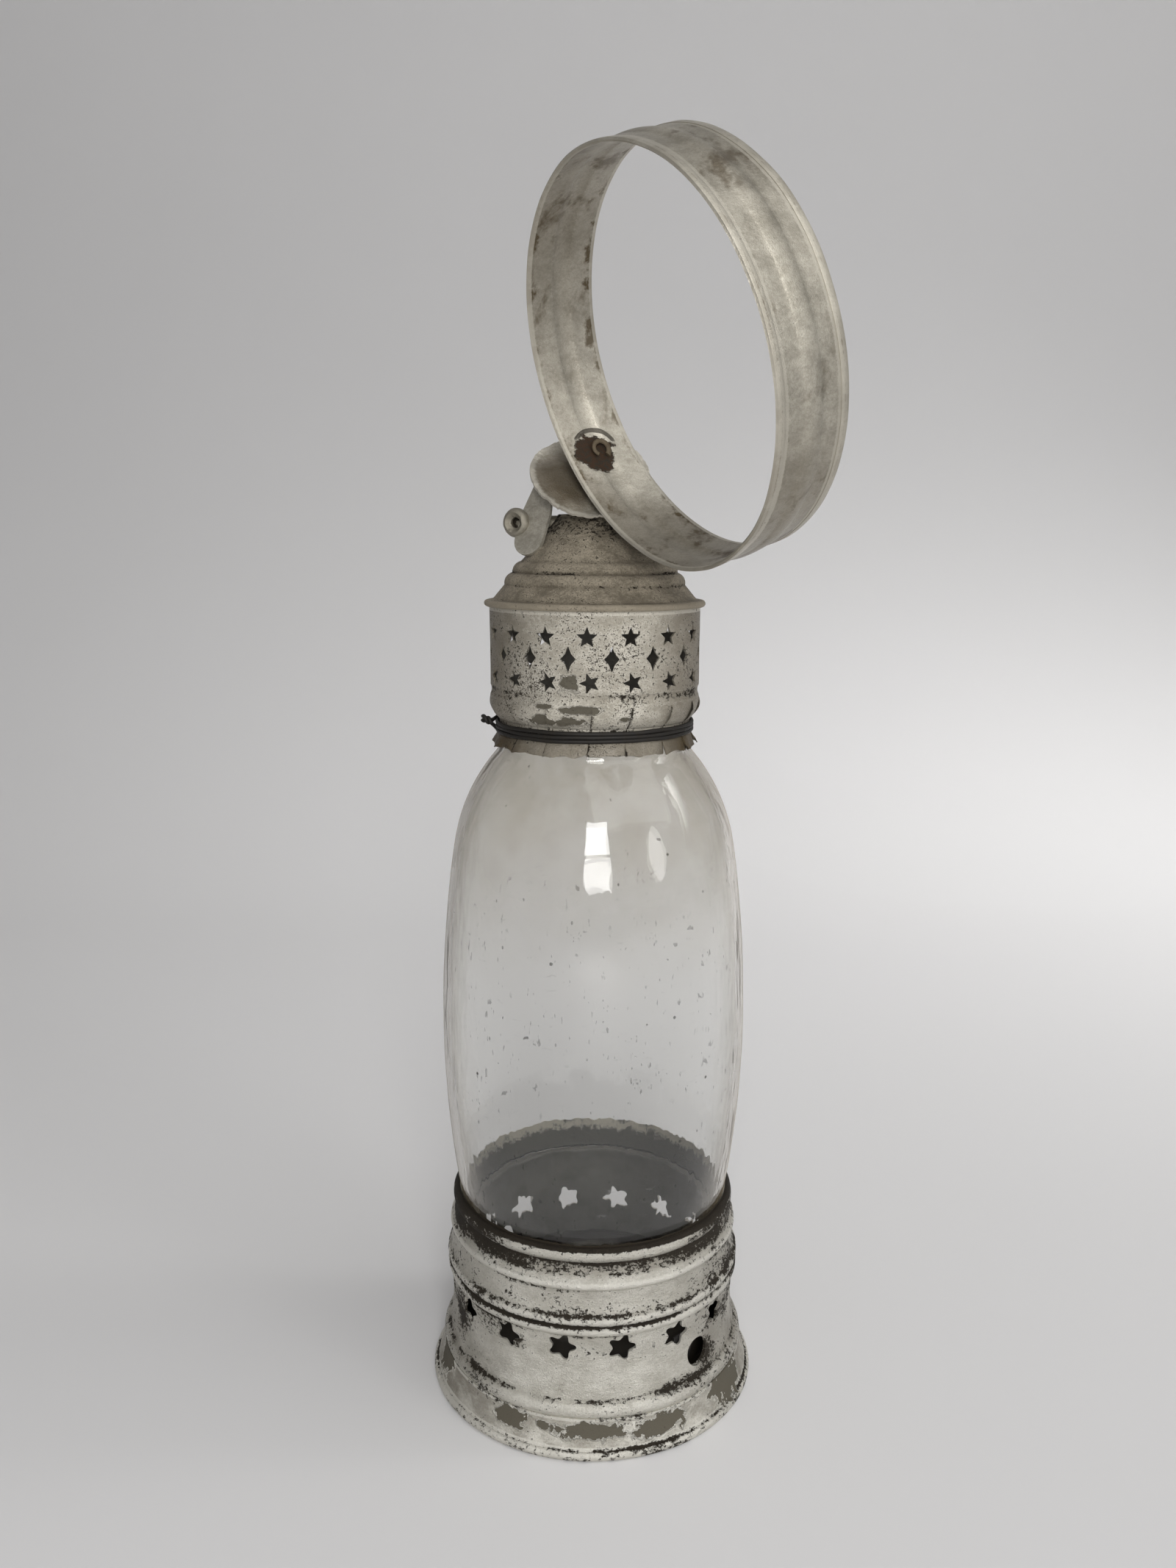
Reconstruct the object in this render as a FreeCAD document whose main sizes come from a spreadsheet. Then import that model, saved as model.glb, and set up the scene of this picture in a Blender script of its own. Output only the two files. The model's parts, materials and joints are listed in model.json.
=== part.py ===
"""Fixed-globe tin hand lantern with a pierced vent band, a conical cap and a tilting ring handle.

The frame has +Z up, the origin at the centre of the foot's underside and the front at -Y.
Lengths are in millimetres and angles in degrees.
"""
import FreeCAD
import Part
import Sketcher
import math
import os

Vector = FreeCAD.Vector
Rotation = FreeCAD.Rotation
Placement = FreeCAD.Placement

doc = FreeCAD.newDocument("Lantern")
sheet = doc.addObject("Spreadsheet::Sheet", "Sizes")

# Driving dimensions, one row each: alias and value
DIMENSIONS = {
    # Sheet metal
    "tin_wall": 0.9,
    "running_clearance": 0.05,
    "body_clearance": 0.3,
    # Flared foot
    "foot_flare_width": 4.0,
    "foot_shoulder": 2.0,
    "foot_height": 13.0,
    "foot_flare_radius": 24.0,
    "foot_hem_height": 3.2,
    "foot_hem_width": 2.6,
    # Base shell, from the foot up to the glass
    "bead_bottom_height": 4.7,
    "bead_bottom_radius": 3.2,
    "base_waist_step": 0.6,
    "base_waist_curve": 74.0,
    "belt_level": 41.0,
    "belt_step": 0.8,
    "belt_bead_height": 3.5,
    "belt_bead_radius": 2.1,
    "cove_ledge": 4.72,
    "cove_height": 8.7,
    "cove_curve": 20.0,
    "neck_bead_height": 2.9,
    "neck_bead_radius": 1.8,
    "collar_height": 8.4,
    "collar_roll_height": 2.4,
    "collar_roll_radius": 1.3,
    "collar_wall": 0.8,
    "base_lip": 1.9,
    "base_neck_wall": 1.62,
    # Stars and catch holes of the base
    "star_count": 16,
    "base_star_radius": 4.6,
    "base_star_level": 36.5,
    "star_waist_ratio": 0.46,
    "catch_hole_radius": 5.0,
    "catch_hole_level": 26.0,
    "catch_azimuth": 45.0,
    # Glass globe and the plaster that beds it
    "seat_ledge": 2.18,
    "seat_depth": 1.6,
    "globe_wall": 2.2,
    "globe_belly_radius": 51.6,
    "globe_belly_level": 131.0,
    "globe_low_curve": 366.0,
    "globe_high_curve": 420.0,
    "globe_shoulder_level": 193.0,
    "globe_shoulder_curve": 62.0,
    "globe_throat_level": 225.3,
    "globe_throat_wall": 2.64,
    "globe_neck_radius": 30.8,
    "globe_neck_level": 228.4,
    "globe_top_level": 241.0,
    "plaster_proud": 0.7,
    # Pierced vent band with its drawn-in tabs
    "band_radius": 34.3,
    "band_wall": 0.7,
    "band_low_level": 228.0,
    "band_groove_level": 233.8,
    "band_groove_width": 3.6,
    "band_shoulder_level": 243.5,
    "band_top_level": 272.2,
    "band_lip_radius": 33.3,
    "tab_count": 16,
    "tab_slit_width": 0.9,
    "tab_slit_top": 242.0,
    "band_star_radius": 2.9,
    "band_star_low_level": 250.5,
    "band_star_high_level": 264.7,
    "diamond_level": 257.8,
    "diamond_width": 4.4,
    "diamond_height": 7.4,
    "band_star_azimuth": -2.5,
    # Twisted binding wire
    "binding_wire_radius": 0.5,
    "binding_turns": 2,
    "binding_pitch": 1.5,
    "pigtail_length": 5.6,
    "pigtail_lay": 6.4,
    "pigtail_strand_offset": 0.95,
    "pigtail_bend": 2.6,
    "pigtail_droop": 0.5,
    # Conical cap
    "cap_rim_radius": 36.6,
    "cap_rim_height": 2.6,
    "cap_rim_curve": 1.45,
    "cap_brim_radius": 33.0,
    "cap_bead_radius": 29.7,
    "cap_bead_level": 279.0,
    "cap_bead_run": 3.9,
    "cap_bead_step": 2.5,
    "cap_bead_curve": 2.8,
    "cap_cone_radius": 23.2,
    "cap_cone_level": 287.4,
    "cap_top_radius": 12.0,
    "cap_top_level": 301.3,
    "cap_flank_wall": 1.26,
    "cap_bead_wall": 1.44,
    # Legs, cross rod and hinge of the handle
    "hinge_azimuth": 10.0,
    "hinge_level": 311.2,
    "hinge_wire_radius": 0.8,
    "leg_width": 14.0,
    "leg_wall": 1.2,
    "leg_top_reach": 14.6,
    "leg_foot_level": 288.4,
    "leg_bend_level": 303.0,
    "leg_eye_radius": 1.9,
    "rod_level": 298.6,
    "rod_radius": 2.4,
    "rod_bore_radius": 1.5,
    "rod_head_radius": 4.5,
    "rod_head_length": 4.4,
    "rod_head_curve": 2.29,
    # Smoke disc and its knuckle
    "disc_radius": 19.2,
    "disc_wall": 0.9,
    "disc_offset": 2.5,
    "disc_rim_rise": 0.7,
    "disc_rim_width": 3.5,
    "disc_rest_elevation": 43.0,
    "disc_shift": -2.3,
    "knuckle_radius": 2.7,
    # Ring handle
    "ring_radius": 57.8,
    "ring_width": 22.8,
    "ring_wall": 0.9,
    "ring_edge_width": 2.4,
    "ring_edge_rise": 0.7,
    "ring_bead_width": 6.4,
    "ring_bead_curve": 6.0,
    "ring_elevation": 22.5,
    "ring_azimuth": 22.6,
    "ring_twist": 18.9,
    "ring_lift": 7.5,
    "ring_seat_offset": 3.5,
    "ring_seat_shift": 0.2,
    "ring_boss_radius": 5.2,
    "rivet_radius": 2.2,
    "rivet_head_radius": 4.4,
    "rivet_head_height": 1.3,
    "rivet_bore_radius": 1.3,
    # Drop-in font and burner
    "font_gap": 7.8,
    "font_bottom_level": 4.0,
    "font_top_level": 25.6,
    "font_flange_overlap": 0.7,
    "font_flange_wall": 1.0,
    "font_lid_overhang": 0.6,
    "font_lid_rise": 3.2,
    "burner_radius": 13.0,
    "burner_height": 3.0,
    "burner_plate_wall": 1.2,
    "burner_plate_overhang": 1.4,
    "wick_tube_radius": 3.1,
    "wick_radius": 2.5,
    "wick_spacing": 11.0,
    "wick_tube_top": 39.0,
    "wick_tube_drop": 8.0,
    "wick_top": 40.8,
    # Spring catches of the font
    "catch_width": 9.0,
    "catch_wall": 0.6,
    "catch_root_height": 1.8,
    "catch_lean": 1.8,
    "catch_length": 15.0,
    "catch_nose_radius": 3.0,
    "catch_nose_gap": 3.7,
}


class Dim:
    """A length with the sheet expression that drives it."""

    def __init__(self, value, text):
        self.value = value
        self.text = text

    def _joined(self, other, sign, value):
        return Dim(value, "(%s %s %s)" % (self.text, sign, as_dim(other).text))

    def __add__(self, other):
        return self._joined(other, "+", self.value + as_dim(other).value)

    def __sub__(self, other):
        return self._joined(other, "-", self.value - as_dim(other).value)

    def __mul__(self, other):
        return self._joined(other, "*", self.value * as_dim(other).value)

    def __truediv__(self, other):
        return self._joined(other, "/", self.value / as_dim(other).value)

    def __neg__(self):
        return Dim(-self.value, "(0 - %s)" % self.text)


def as_dim(item):
    return item if isinstance(item, Dim) else Dim(float(item), repr(float(item)))


def root(item):
    return Dim(math.sqrt(item.value), "sqrt(%s)" % item.text)


class SizeTable:
    """Named sizes of the sheet, read as Dim objects."""

    def __init__(self, table):
        for row, (alias, value) in enumerate(table.items(), start=1):
            sheet.set("A%d" % row, alias)
            sheet.set("B%d" % row, str(value))
            sheet.setAlias("B%d" % row, alias)
        doc.recompute()
        for alias in table:
            setattr(self, alias, Dim(float(sheet.get(alias)), "Sizes." + alias))


size = SizeTable(DIMENSIONS)
pieces = []


def bind(item, name, dim):
    """Set a property and tie it to the sheet."""
    item.setExpression(name, as_dim(dim).text)


def new_body(label):
    body = doc.addObject("PartDesign::Body", label)
    body.Label = label
    pieces.append(body)
    return body


def sketch_on(body, role, azimuth=None):
    """Sketch on an origin plane, turned about Z by an azimuth where one is given."""
    plane = next(item for item in body.Origin.OriginFeatures if item.Role == role)
    sketch = body.newObject("Sketcher::SketchObject", body.Name + "Sketch")
    sketch.AttachmentSupport = [(plane, "")]
    sketch.MapMode = "FlatFace"
    if azimuth is not None:
        sketch.AttachmentOffset = Placement(Vector(), Rotation(Vector(0, 1, 0), as_dim(azimuth).value))
        bind(sketch, "AttachmentOffset.Rotation.Angle", azimuth)
    return sketch


def hold(sketch, kind, geometry, point, dim):
    """Coordinate of a point, tied to the sheet."""
    dim = as_dim(dim)
    index = sketch.addConstraint(Sketcher.Constraint(kind, geometry, point, dim.value))
    sketch.setExpression("Constraints[%d]" % index, dim.text)


def arc_between(start, end, radius):
    """Arc from start to end that bulges right of the travel for a positive radius, left for a negative."""
    chord = end - start
    side = Vector(chord.y, -chord.x, 0).normalize()
    reach = math.sqrt(max(radius * radius - chord.Length ** 2 / 4, 0))
    sign = 1 if radius > 0 else -1
    middle = (start + end) * 0.5
    centre = middle - side * (sign * reach)
    crown = centre + side * (sign * abs(radius))
    return Part.Arc(start, crown, end)


def outline(sketch, points):
    """Closed outline: each point is x, y and, for a rounded stretch that ends there, its radius."""
    places = [Vector(as_dim(item[0]).value, as_dim(item[1]).value, 0) for item in points]
    first = sketch.GeometryCount
    ends = []
    for number, item in enumerate(points):
        start, end = places[number - 1], places[number]
        if len(item) == 2:
            sketch.addGeometry(Part.LineSegment(start, end), False)
            ends.append((1, 2))
        else:
            arc = arc_between(start, end, as_dim(item[2]).value)
            sketch.addGeometry(arc, False)
            forward = sketch.getPoint(first + number, 1).distanceToPoint(start) < 1e-6
            ends.append((1, 2) if forward else (2, 1))
    count = len(points)
    for number in range(count):
        following = (number + 1) % count
        pair = (first + number, ends[number][1], first + following, ends[following][0])
        sketch.addConstraint(Sketcher.Constraint("Coincident", *pair))
    for number, item in enumerate(points):
        hold(sketch, "DistanceX", first + number, ends[number][1], item[0])
        hold(sketch, "DistanceY", first + number, ends[number][1], item[1])
        if len(item) == 3:
            radius = as_dim(item[2])
            radius = radius if radius.value > 0 else -radius
            index = sketch.addConstraint(Sketcher.Constraint("Radius", first + number, radius.value))
            sketch.setExpression("Constraints[%d]" % index, radius.text)


def circle(sketch, x, y, radius):
    place = Vector(as_dim(x).value, as_dim(y).value, 0)
    index = sketch.addGeometry(Part.Circle(place, Vector(0, 0, 1), as_dim(radius).value), False)
    hold(sketch, "DistanceX", index, 3, x)
    hold(sketch, "DistanceY", index, 3, y)
    number = sketch.addConstraint(Sketcher.Constraint("Radius", index, as_dim(radius).value))
    sketch.setExpression("Constraints[%d]" % number, as_dim(radius).text)


def lathe(label, points):
    """Body turned about Z from an outline in radius and height."""
    body = new_body(label)
    sketch = sketch_on(body, "XZ_Plane")
    outline(sketch, points)
    turn = body.newObject("PartDesign::Revolution", label + "Turn")
    turn.Profile = sketch
    turn.ReferenceAxis = (sketch, ["V_Axis"])
    turn.Angle = 360
    doc.recompute()
    return body


def pad(body, sketch, length, midplane=False):
    item = body.newObject("PartDesign::Pad", body.Name + "Pad")
    item.Profile = sketch
    item.Midplane = midplane
    bind(item, "Length", length)
    doc.recompute()
    return item


def cut_outward(body, sketch, both_ways=False):
    """Cut from the sketch plane outwards along its normal, or both ways."""
    before = body.Shape.Volume
    item = body.newObject("PartDesign::Pocket", body.Name + "Cut")
    item.Profile = sketch
    item.Type = 1
    item.Midplane = both_ways
    item.Reversed = not both_ways
    doc.recompute()
    if body.Shape.Volume >= before - 1e-6:
        raise RuntimeError("a cut in %s removed nothing" % body.Label)
    return item


def repeat(body, features, count):
    """Copies of features evenly round Z."""
    item = body.newObject("PartDesign::PolarPattern", body.Name + "Round")
    item.Originals = features
    item.Axis = (next(axis for axis in body.Origin.OriginFeatures if axis.Role == "Z_Axis"), [""])
    item.Angle = 360
    bind(item, "Occurrences", count)
    body.Tip = item
    doc.recompute()
    return item


def star_points(x, y, tip_radius, turn):
    """Ten corners of a five-pointed star whose first tip stands at an angle from +x."""
    points = []
    for corner in range(10):
        angle = math.radians(turn + 36 * corner)
        radius = tip_radius if corner % 2 == 0 else tip_radius * size.star_waist_ratio
        points.append((as_dim(x) + radius * math.cos(angle), as_dim(y) + radius * math.sin(angle)))
    return points


# Direction words of the handle, worked out from its angles
def lean_frame(azimuth, elevation):
    """Axis along the hinge, outward normal and the way up its face for a leaning plate."""
    turn, rise = math.radians(azimuth), math.radians(elevation)
    along = Vector(math.cos(turn), math.sin(turn), 0)
    normal = Vector(math.cos(rise) * math.sin(turn), -math.cos(rise) * math.cos(turn), math.sin(rise))
    return along, normal, along.cross(normal) * -1


def placed(origin, x_axis, z_axis):
    y_axis = z_axis.cross(x_axis)
    return Placement(origin, Rotation(x_axis, y_axis, z_axis, "ZXY"))


# Levels and radii that the foot, the base, the glass and the font share, outwards from the glass
BELT_TOP = size.belt_level + size.belt_bead_height * 2
COVE_TOP = BELT_TOP + size.cove_height
NECK_BEAD_TOP = COVE_TOP + size.neck_bead_height
COLLAR_TOP = NECK_BEAD_TOP + size.collar_height + size.collar_roll_height
SEAT_LEVEL = NECK_BEAD_TOP + size.seat_depth


def globe_radius_at(level):
    """Outer radius of the glass below its belly."""
    drop = size.globe_belly_level - level
    curve = size.globe_low_curve
    return size.globe_belly_radius - curve + root(curve * curve - drop * drop)


GLOBE_FOOT_RADIUS = globe_radius_at(SEAT_LEVEL)
COLLAR_BORE = globe_radius_at(COLLAR_TOP) + size.body_clearance
COLLAR_RADIUS = COLLAR_BORE + size.collar_wall
COVE_RADIUS = GLOBE_FOOT_RADIUS + size.cove_ledge
SEAT_RADIUS = COVE_RADIUS - size.base_neck_wall
BASE_HIGH_RADIUS = COVE_RADIUS + size.belt_step
BASE_LOW_RADIUS = BASE_HIGH_RADIUS + size.base_waist_step
BASE_INNER = BASE_HIGH_RADIUS - size.tin_wall - size.tin_wall / 2
FOOT_TOP_RADIUS = BASE_LOW_RADIUS + size.foot_shoulder
FOOT_RADIUS = FOOT_TOP_RADIUS + size.foot_flare_width
FONT_RADIUS = BASE_INNER - size.font_gap


# Foot and base
def foot_ring():
    inner = FOOT_RADIUS - size.foot_hem_width
    shoulder = FOOT_RADIUS - size.tin_wall
    half_hem = size.foot_hem_height / 2
    lathe("foot_ring", [
        (inner, 0),
        (FOOT_RADIUS - half_hem, 0),
        (FOOT_RADIUS, half_hem, half_hem),
        (FOOT_RADIUS - half_hem, size.foot_hem_height, half_hem),
        (shoulder - size.tin_wall / 2, size.foot_hem_height),
        (FOOT_TOP_RADIUS, size.foot_height, -size.foot_flare_radius),
        (FOOT_TOP_RADIUS - size.tin_wall, size.foot_height),
        (inner, size.foot_hem_height, size.foot_flare_radius),
    ])


def base_shell():
    bead_top = size.foot_height + size.bead_bottom_height
    edge = FOOT_TOP_RADIUS - size.tin_wall / 2
    collar_low = NECK_BEAD_TOP + size.collar_height
    body = lathe("base_shell", [
        (edge - size.base_lip, size.foot_height),
        (edge, size.foot_height),
        (BASE_LOW_RADIUS + size.tin_wall / 2, bead_top, size.bead_bottom_radius),
        (BASE_LOW_RADIUS, bead_top + size.tin_wall / 2),
        (BASE_HIGH_RADIUS, size.belt_level, -size.base_waist_curve),
        (BASE_HIGH_RADIUS, size.belt_level + size.belt_bead_height, size.belt_bead_radius),
        (BASE_HIGH_RADIUS, BELT_TOP, size.belt_bead_radius),
        (COVE_RADIUS, COVE_TOP, -size.cove_curve),
        (COVE_RADIUS, NECK_BEAD_TOP, size.neck_bead_radius),
        (COVE_RADIUS - size.tin_wall / 2, NECK_BEAD_TOP + size.tin_wall),
        (COLLAR_RADIUS, collar_low),
        (COLLAR_RADIUS, COLLAR_TOP, size.collar_roll_radius),
        (COLLAR_BORE, COLLAR_TOP),
        (COLLAR_BORE, collar_low),
        (SEAT_RADIUS, SEAT_LEVEL + size.tin_wall),
        (SEAT_RADIUS, COVE_TOP),
        (BASE_INNER, BELT_TOP),
        (BASE_INNER, bead_top + size.tin_wall),
        (edge - size.base_lip, bead_top - size.tin_wall),
    ])
    half_pitch = as_dim(180) / size.star_count
    stars = sketch_on(body, "XZ_Plane", half_pitch)
    outline(stars, star_points(0, size.base_star_level, size.base_star_radius, -90))
    repeat(body, [cut_outward(body, stars)], size.star_count)
    catches = sketch_on(body, "XZ_Plane", size.catch_azimuth)
    circle(catches, 0, size.catch_hole_level, size.catch_hole_radius)
    cut_outward(body, catches, both_ways=True)


def globe_seat():
    inner = GLOBE_FOOT_RADIUS - size.globe_wall - size.seat_ledge
    lathe("globe_seat", [
        (inner, SEAT_LEVEL - size.tin_wall),
        (SEAT_RADIUS, SEAT_LEVEL - size.tin_wall),
        (SEAT_RADIUS, SEAT_LEVEL),
        (inner, SEAT_LEVEL),
    ])


def globe():
    belly, belly_level = size.globe_belly_radius, size.globe_belly_level
    wall, neck = size.globe_wall, size.globe_neck_radius
    rise = size.globe_shoulder_level - belly_level
    high = size.globe_high_curve
    shoulder = belly - high + root(high * high - rise * rise)
    low = GLOBE_FOOT_RADIUS
    throat = neck + wall / 2
    lathe("globe", [
        (low - wall, SEAT_LEVEL, -(size.globe_low_curve - wall)),
        (low, SEAT_LEVEL),
        (belly, belly_level, size.globe_low_curve),
        (shoulder, size.globe_shoulder_level, high),
        (throat, size.globe_throat_level, size.globe_shoulder_curve),
        (neck, size.globe_neck_level),
        (neck, size.globe_top_level),
        (neck - wall, size.globe_top_level),
        (neck - wall, size.globe_neck_level - wall / 2),
        (throat - size.globe_throat_wall, size.globe_throat_level - wall / 2),
        (shoulder - wall, size.globe_shoulder_level, -(size.globe_shoulder_curve - wall)),
        (belly - wall, belly_level, -(high - wall)),
    ])


def plaster_bed():
    top = COLLAR_TOP + size.plaster_proud
    low = NECK_BEAD_TOP + size.collar_height
    lathe("plaster_bed", [
        (GLOBE_FOOT_RADIUS, SEAT_LEVEL, -size.globe_low_curve),
        (SEAT_RADIUS, SEAT_LEVEL),
        (SEAT_RADIUS, SEAT_LEVEL + size.tin_wall),
        (COLLAR_BORE, low),
        (COLLAR_BORE, top),
        (globe_radius_at(top), top),
    ])


# Vent band, binding wire and cap
GROOVE_RADIUS = size.globe_neck_radius + size.band_wall


def vent_band():
    wall = size.band_wall
    groove_low = size.band_groove_level - size.band_groove_width / 2
    groove_high = size.band_groove_level + size.band_groove_width / 2
    body = lathe("vent_band", [
        (size.band_lip_radius - wall, size.band_low_level),
        (size.band_lip_radius, size.band_low_level),
        (GROOVE_RADIUS, groove_low),
        (GROOVE_RADIUS, groove_high),
        (size.band_radius, size.band_shoulder_level),
        (size.band_radius, size.band_top_level),
        (size.band_radius - wall, size.band_top_level),
        (size.band_radius - wall, size.band_shoulder_level + wall / 2),
        (GROOVE_RADIUS - wall, groove_high),
        (GROOVE_RADIUS - wall, groove_low),
    ])
    half_pitch = as_dim(180) / size.star_count
    rows = []
    for level, turn in ((size.band_star_low_level, 90), (size.band_star_high_level, 0)):
        stars = sketch_on(body, "XZ_Plane", size.band_star_azimuth)
        outline(stars, star_points(0, level, size.band_star_radius, turn))
        rows.append(cut_outward(body, stars))
    diamonds = sketch_on(body, "XZ_Plane", size.band_star_azimuth + half_pitch)
    outline(diamonds, [
        (size.diamond_width / 2, size.diamond_level),
        (0, size.diamond_level + size.diamond_height / 2),
        (-(size.diamond_width / 2), size.diamond_level),
        (0, size.diamond_level - size.diamond_height / 2),
    ])
    rows.append(cut_outward(body, diamonds))
    repeat(body, rows, size.star_count)
    slit = sketch_on(body, "XZ_Plane", size.band_star_azimuth)
    half_slit = size.tab_slit_width / 2
    outline(slit, [
        (-half_slit, size.band_low_level - size.band_wall),
        (half_slit, size.band_low_level - size.band_wall),
        (half_slit, size.tab_slit_top),
        (-half_slit, size.tab_slit_top),
    ])
    repeat(body, [cut_outward(body, slit)], size.tab_count)


def turned_arc(start, direction, end):
    """Arc that leaves start along a direction and ends at end, and its tangent there."""
    chord = end - start
    across = direction.cross(chord)
    if across.Length < 1e-7 * chord.Length:
        return Part.LineSegment(start, end), Vector(direction)
    half_turn = direction.getAngle(chord)
    side = direction - chord * (direction.dot(chord) / chord.dot(chord))
    crown = (start + end) * 0.5 + side.normalize() * (chord.Length / 2 * math.tan(half_turn / 2))
    return Part.Arc(start, crown, end), Rotation(across, math.degrees(2 * half_turn)).multVec(direction)


def biarc(start, start_way, end, end_way):
    """Two arcs that join two points with their tangents."""
    chord = end - start
    ways = start_way + end_way
    spread = 2 * (1 - start_way.dot(end_way))
    along = chord.dot(ways)
    if spread < 1e-9:
        reach = chord.dot(chord) / (2 * along)
    else:
        reach = (-along + math.sqrt(along * along + spread * chord.dot(chord))) / spread
    middle = (start + start_way * reach + end - end_way * reach) * 0.5
    first, way = turned_arc(start, start_way, middle)
    second, way = turned_arc(middle, way, end)
    return [first, second]


def binding_knots():
    """Points and directions along the wire, from one twisted end round the band to the other."""
    wire, turns = size.binding_wire_radius.value, int(size.binding_turns.value)
    radius = GROOVE_RADIUS.value + wire + size.running_clearance.value
    pitch, bend = size.binding_pitch.value, size.pigtail_bend.value
    level = size.band_groove_level.value
    offset, lay = size.pigtail_strand_offset.value, size.pigtail_lay.value
    out, side, up = Vector(-1, 0, 0), Vector(0, -1, 0), Vector(0, 0, 1)
    way = (out - up * size.pigtail_droop.value).normalize()
    lift = side.cross(way) * -1
    foot = out * (radius + bend) + up * level

    def strand(distance, phase):
        angle = phase + 2 * math.pi * distance / lay
        twist = side * math.sin(angle) - lift * math.cos(angle)
        swing = side * math.cos(angle) + lift * math.sin(angle)
        slope = way + swing * (offset * 2 * math.pi / lay)
        return foot + way * (bend + distance) + twist * offset, slope.normalize()

    def turn(angle):
        spin = math.radians(180 + angle)
        height = level + pitch * (angle / 360 - turns / 2)
        place = Vector(radius * math.cos(spin), radius * math.sin(spin), height)
        heading = Vector(-radius * math.sin(spin), radius * math.cos(spin), pitch / (2 * math.pi))
        return place, heading.normalize()

    steps = [size.pigtail_length.value * step / 3 for step in range(4)]
    inward = [strand(distance, 0) for distance in reversed(steps)]
    inward.append((foot - up * (pitch * turns / 2), out))
    inward = [(place, heading * -1) for place, heading in inward]
    outward = [(foot + up * (pitch * turns / 2), out)]
    outward += [strand(distance, math.pi) for distance in steps]
    run_in = math.degrees(bend / radius)
    span = 360 * turns - 2 * run_in
    count = 2 * turns
    round_band = [turn(run_in + span * step / count) for step in range(count + 1)]
    return inward + round_band + outward


def binding_wire():
    knots = binding_knots()
    arcs = []
    for (start, start_way), (end, end_way) in zip(knots, knots[1:]):
        arcs += biarc(start, start_way, end, end_way)
    path = Part.Wire([arc.toShape() for arc in arcs])
    radius = size.binding_wire_radius.value
    start, way = knots[0]
    section = Part.Wire(Part.Circle(start, way, radius).toShape())
    tube = path.makePipeShell([section], True, False)
    samples = path.discretize(Distance=radius / 2)
    near = int(4 * math.pi)
    gap = min(
        (one - other).Length
        for place, one in enumerate(samples)
        for other in samples[place + near:]
    )
    print("binding wire: least gap to itself %.2f mm" % (gap - 2 * radius))
    print("binding wire: volume over section times length %.4f" % (
        tube.Volume / (math.pi * radius * radius * path.Length)))
    item = doc.addObject("Part::Feature", "binding_wire")
    item.Label = "binding_wire"
    item.Shape = tube if tube.ShapeType == "Solid" else Part.Solid(tube)
    pieces.append(item)


# Cone of the cap: radius at a level on its straight flank
FLANK_SLOPE = (size.cap_cone_radius - size.cap_top_radius) / (size.cap_top_level - size.cap_cone_level)


def cap_radius_at(level):
    return size.cap_top_radius + (size.cap_top_level - level) * FLANK_SLOPE


def cone_cap():
    wall = size.tin_wall
    rim = size.cap_rim_radius - size.cap_rim_height / 2
    rim_top = size.band_top_level + size.cap_rim_height
    bead_radius = size.cap_bead_radius - size.cap_bead_step
    bead_level = size.cap_bead_level + size.cap_bead_run
    body = lathe("cone_cap", [
        (size.band_radius - size.band_wall * 2, size.band_top_level),
        (rim, size.band_top_level),
        (rim, rim_top, size.cap_rim_curve),
        (size.cap_brim_radius, rim_top + wall / 2),
        (size.cap_bead_radius, size.cap_bead_level),
        (bead_radius, bead_level, size.cap_bead_curve),
        (size.cap_cone_radius + wall, size.cap_cone_level - wall, size.cap_bead_curve),
        (size.cap_cone_radius, size.cap_cone_level),
        (size.cap_top_radius, size.cap_top_level),
        (size.cap_top_radius - wall, size.cap_top_level),
        (size.cap_cone_radius - size.cap_flank_wall, size.cap_cone_level),
        (size.cap_bead_radius - size.cap_bead_wall, size.cap_bead_level),
        (size.band_radius - size.band_wall * 2, rim_top - wall),
    ])
    holes = sketch_on(body, "YZ_Plane", size.hinge_azimuth)
    circle(holes, 0, size.rod_level, size.rod_radius)
    cut_outward(body, holes, both_ways=True)


# Legs, cross rod and hinge wire that carry the handle
LEG_REACH = cap_radius_at(size.leg_foot_level)


def leg_place(side):
    """Frame of a leg: X outwards along the hinge, Z up."""
    turn = size.hinge_azimuth.value + (0 if side > 0 else 180)
    return Placement(Vector(), Rotation(Vector(0, 0, 1), turn))


def leg(label, side):
    body = new_body(label)
    strip = sketch_on(body, "XZ_Plane")
    low, bend = size.leg_foot_level, size.leg_bend_level
    knee = size.hinge_level - size.leg_eye_radius * 2
    top = size.hinge_level + size.leg_eye_radius
    outer, inner = LEG_REACH + size.leg_wall, LEG_REACH
    outline(strip, [
        (inner, low),
        (outer, low),
        (outer, bend),
        (size.leg_top_reach + size.leg_wall, knee),
        (size.leg_top_reach + size.leg_wall, top),
        (size.leg_top_reach, top),
        (size.leg_top_reach, knee - size.leg_wall / 4),
        (inner, bend - size.leg_wall / 4),
    ])
    pad(body, strip, size.leg_width, midplane=True)
    half, eye = size.leg_width / 2, size.leg_eye_radius
    clear = size.leg_width
    frame = sketch_on(body, "YZ_Plane")
    outline(frame, [
        (-clear, low - clear),
        (clear, low - clear),
        (clear, top + clear),
        (-clear, top + clear),
    ])
    outline(frame, [
        (0, low, half),
        (half, low + half, half),
        (half, bend),
        (eye, size.hinge_level - eye),
        (eye, size.hinge_level),
        (0, top, eye),
        (-eye, size.hinge_level, eye),
        (-eye, size.hinge_level - eye),
        (-half, bend),
        (-half, low + half),
    ])
    cut_outward(body, frame, both_ways=True)
    holes = sketch_on(body, "YZ_Plane")
    circle(holes, 0, size.rod_level, size.rod_radius)
    circle(holes, 0, size.hinge_level, size.hinge_wire_radius)
    cut_outward(body, holes, both_ways=True)
    body.Placement = leg_place(side)


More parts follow.
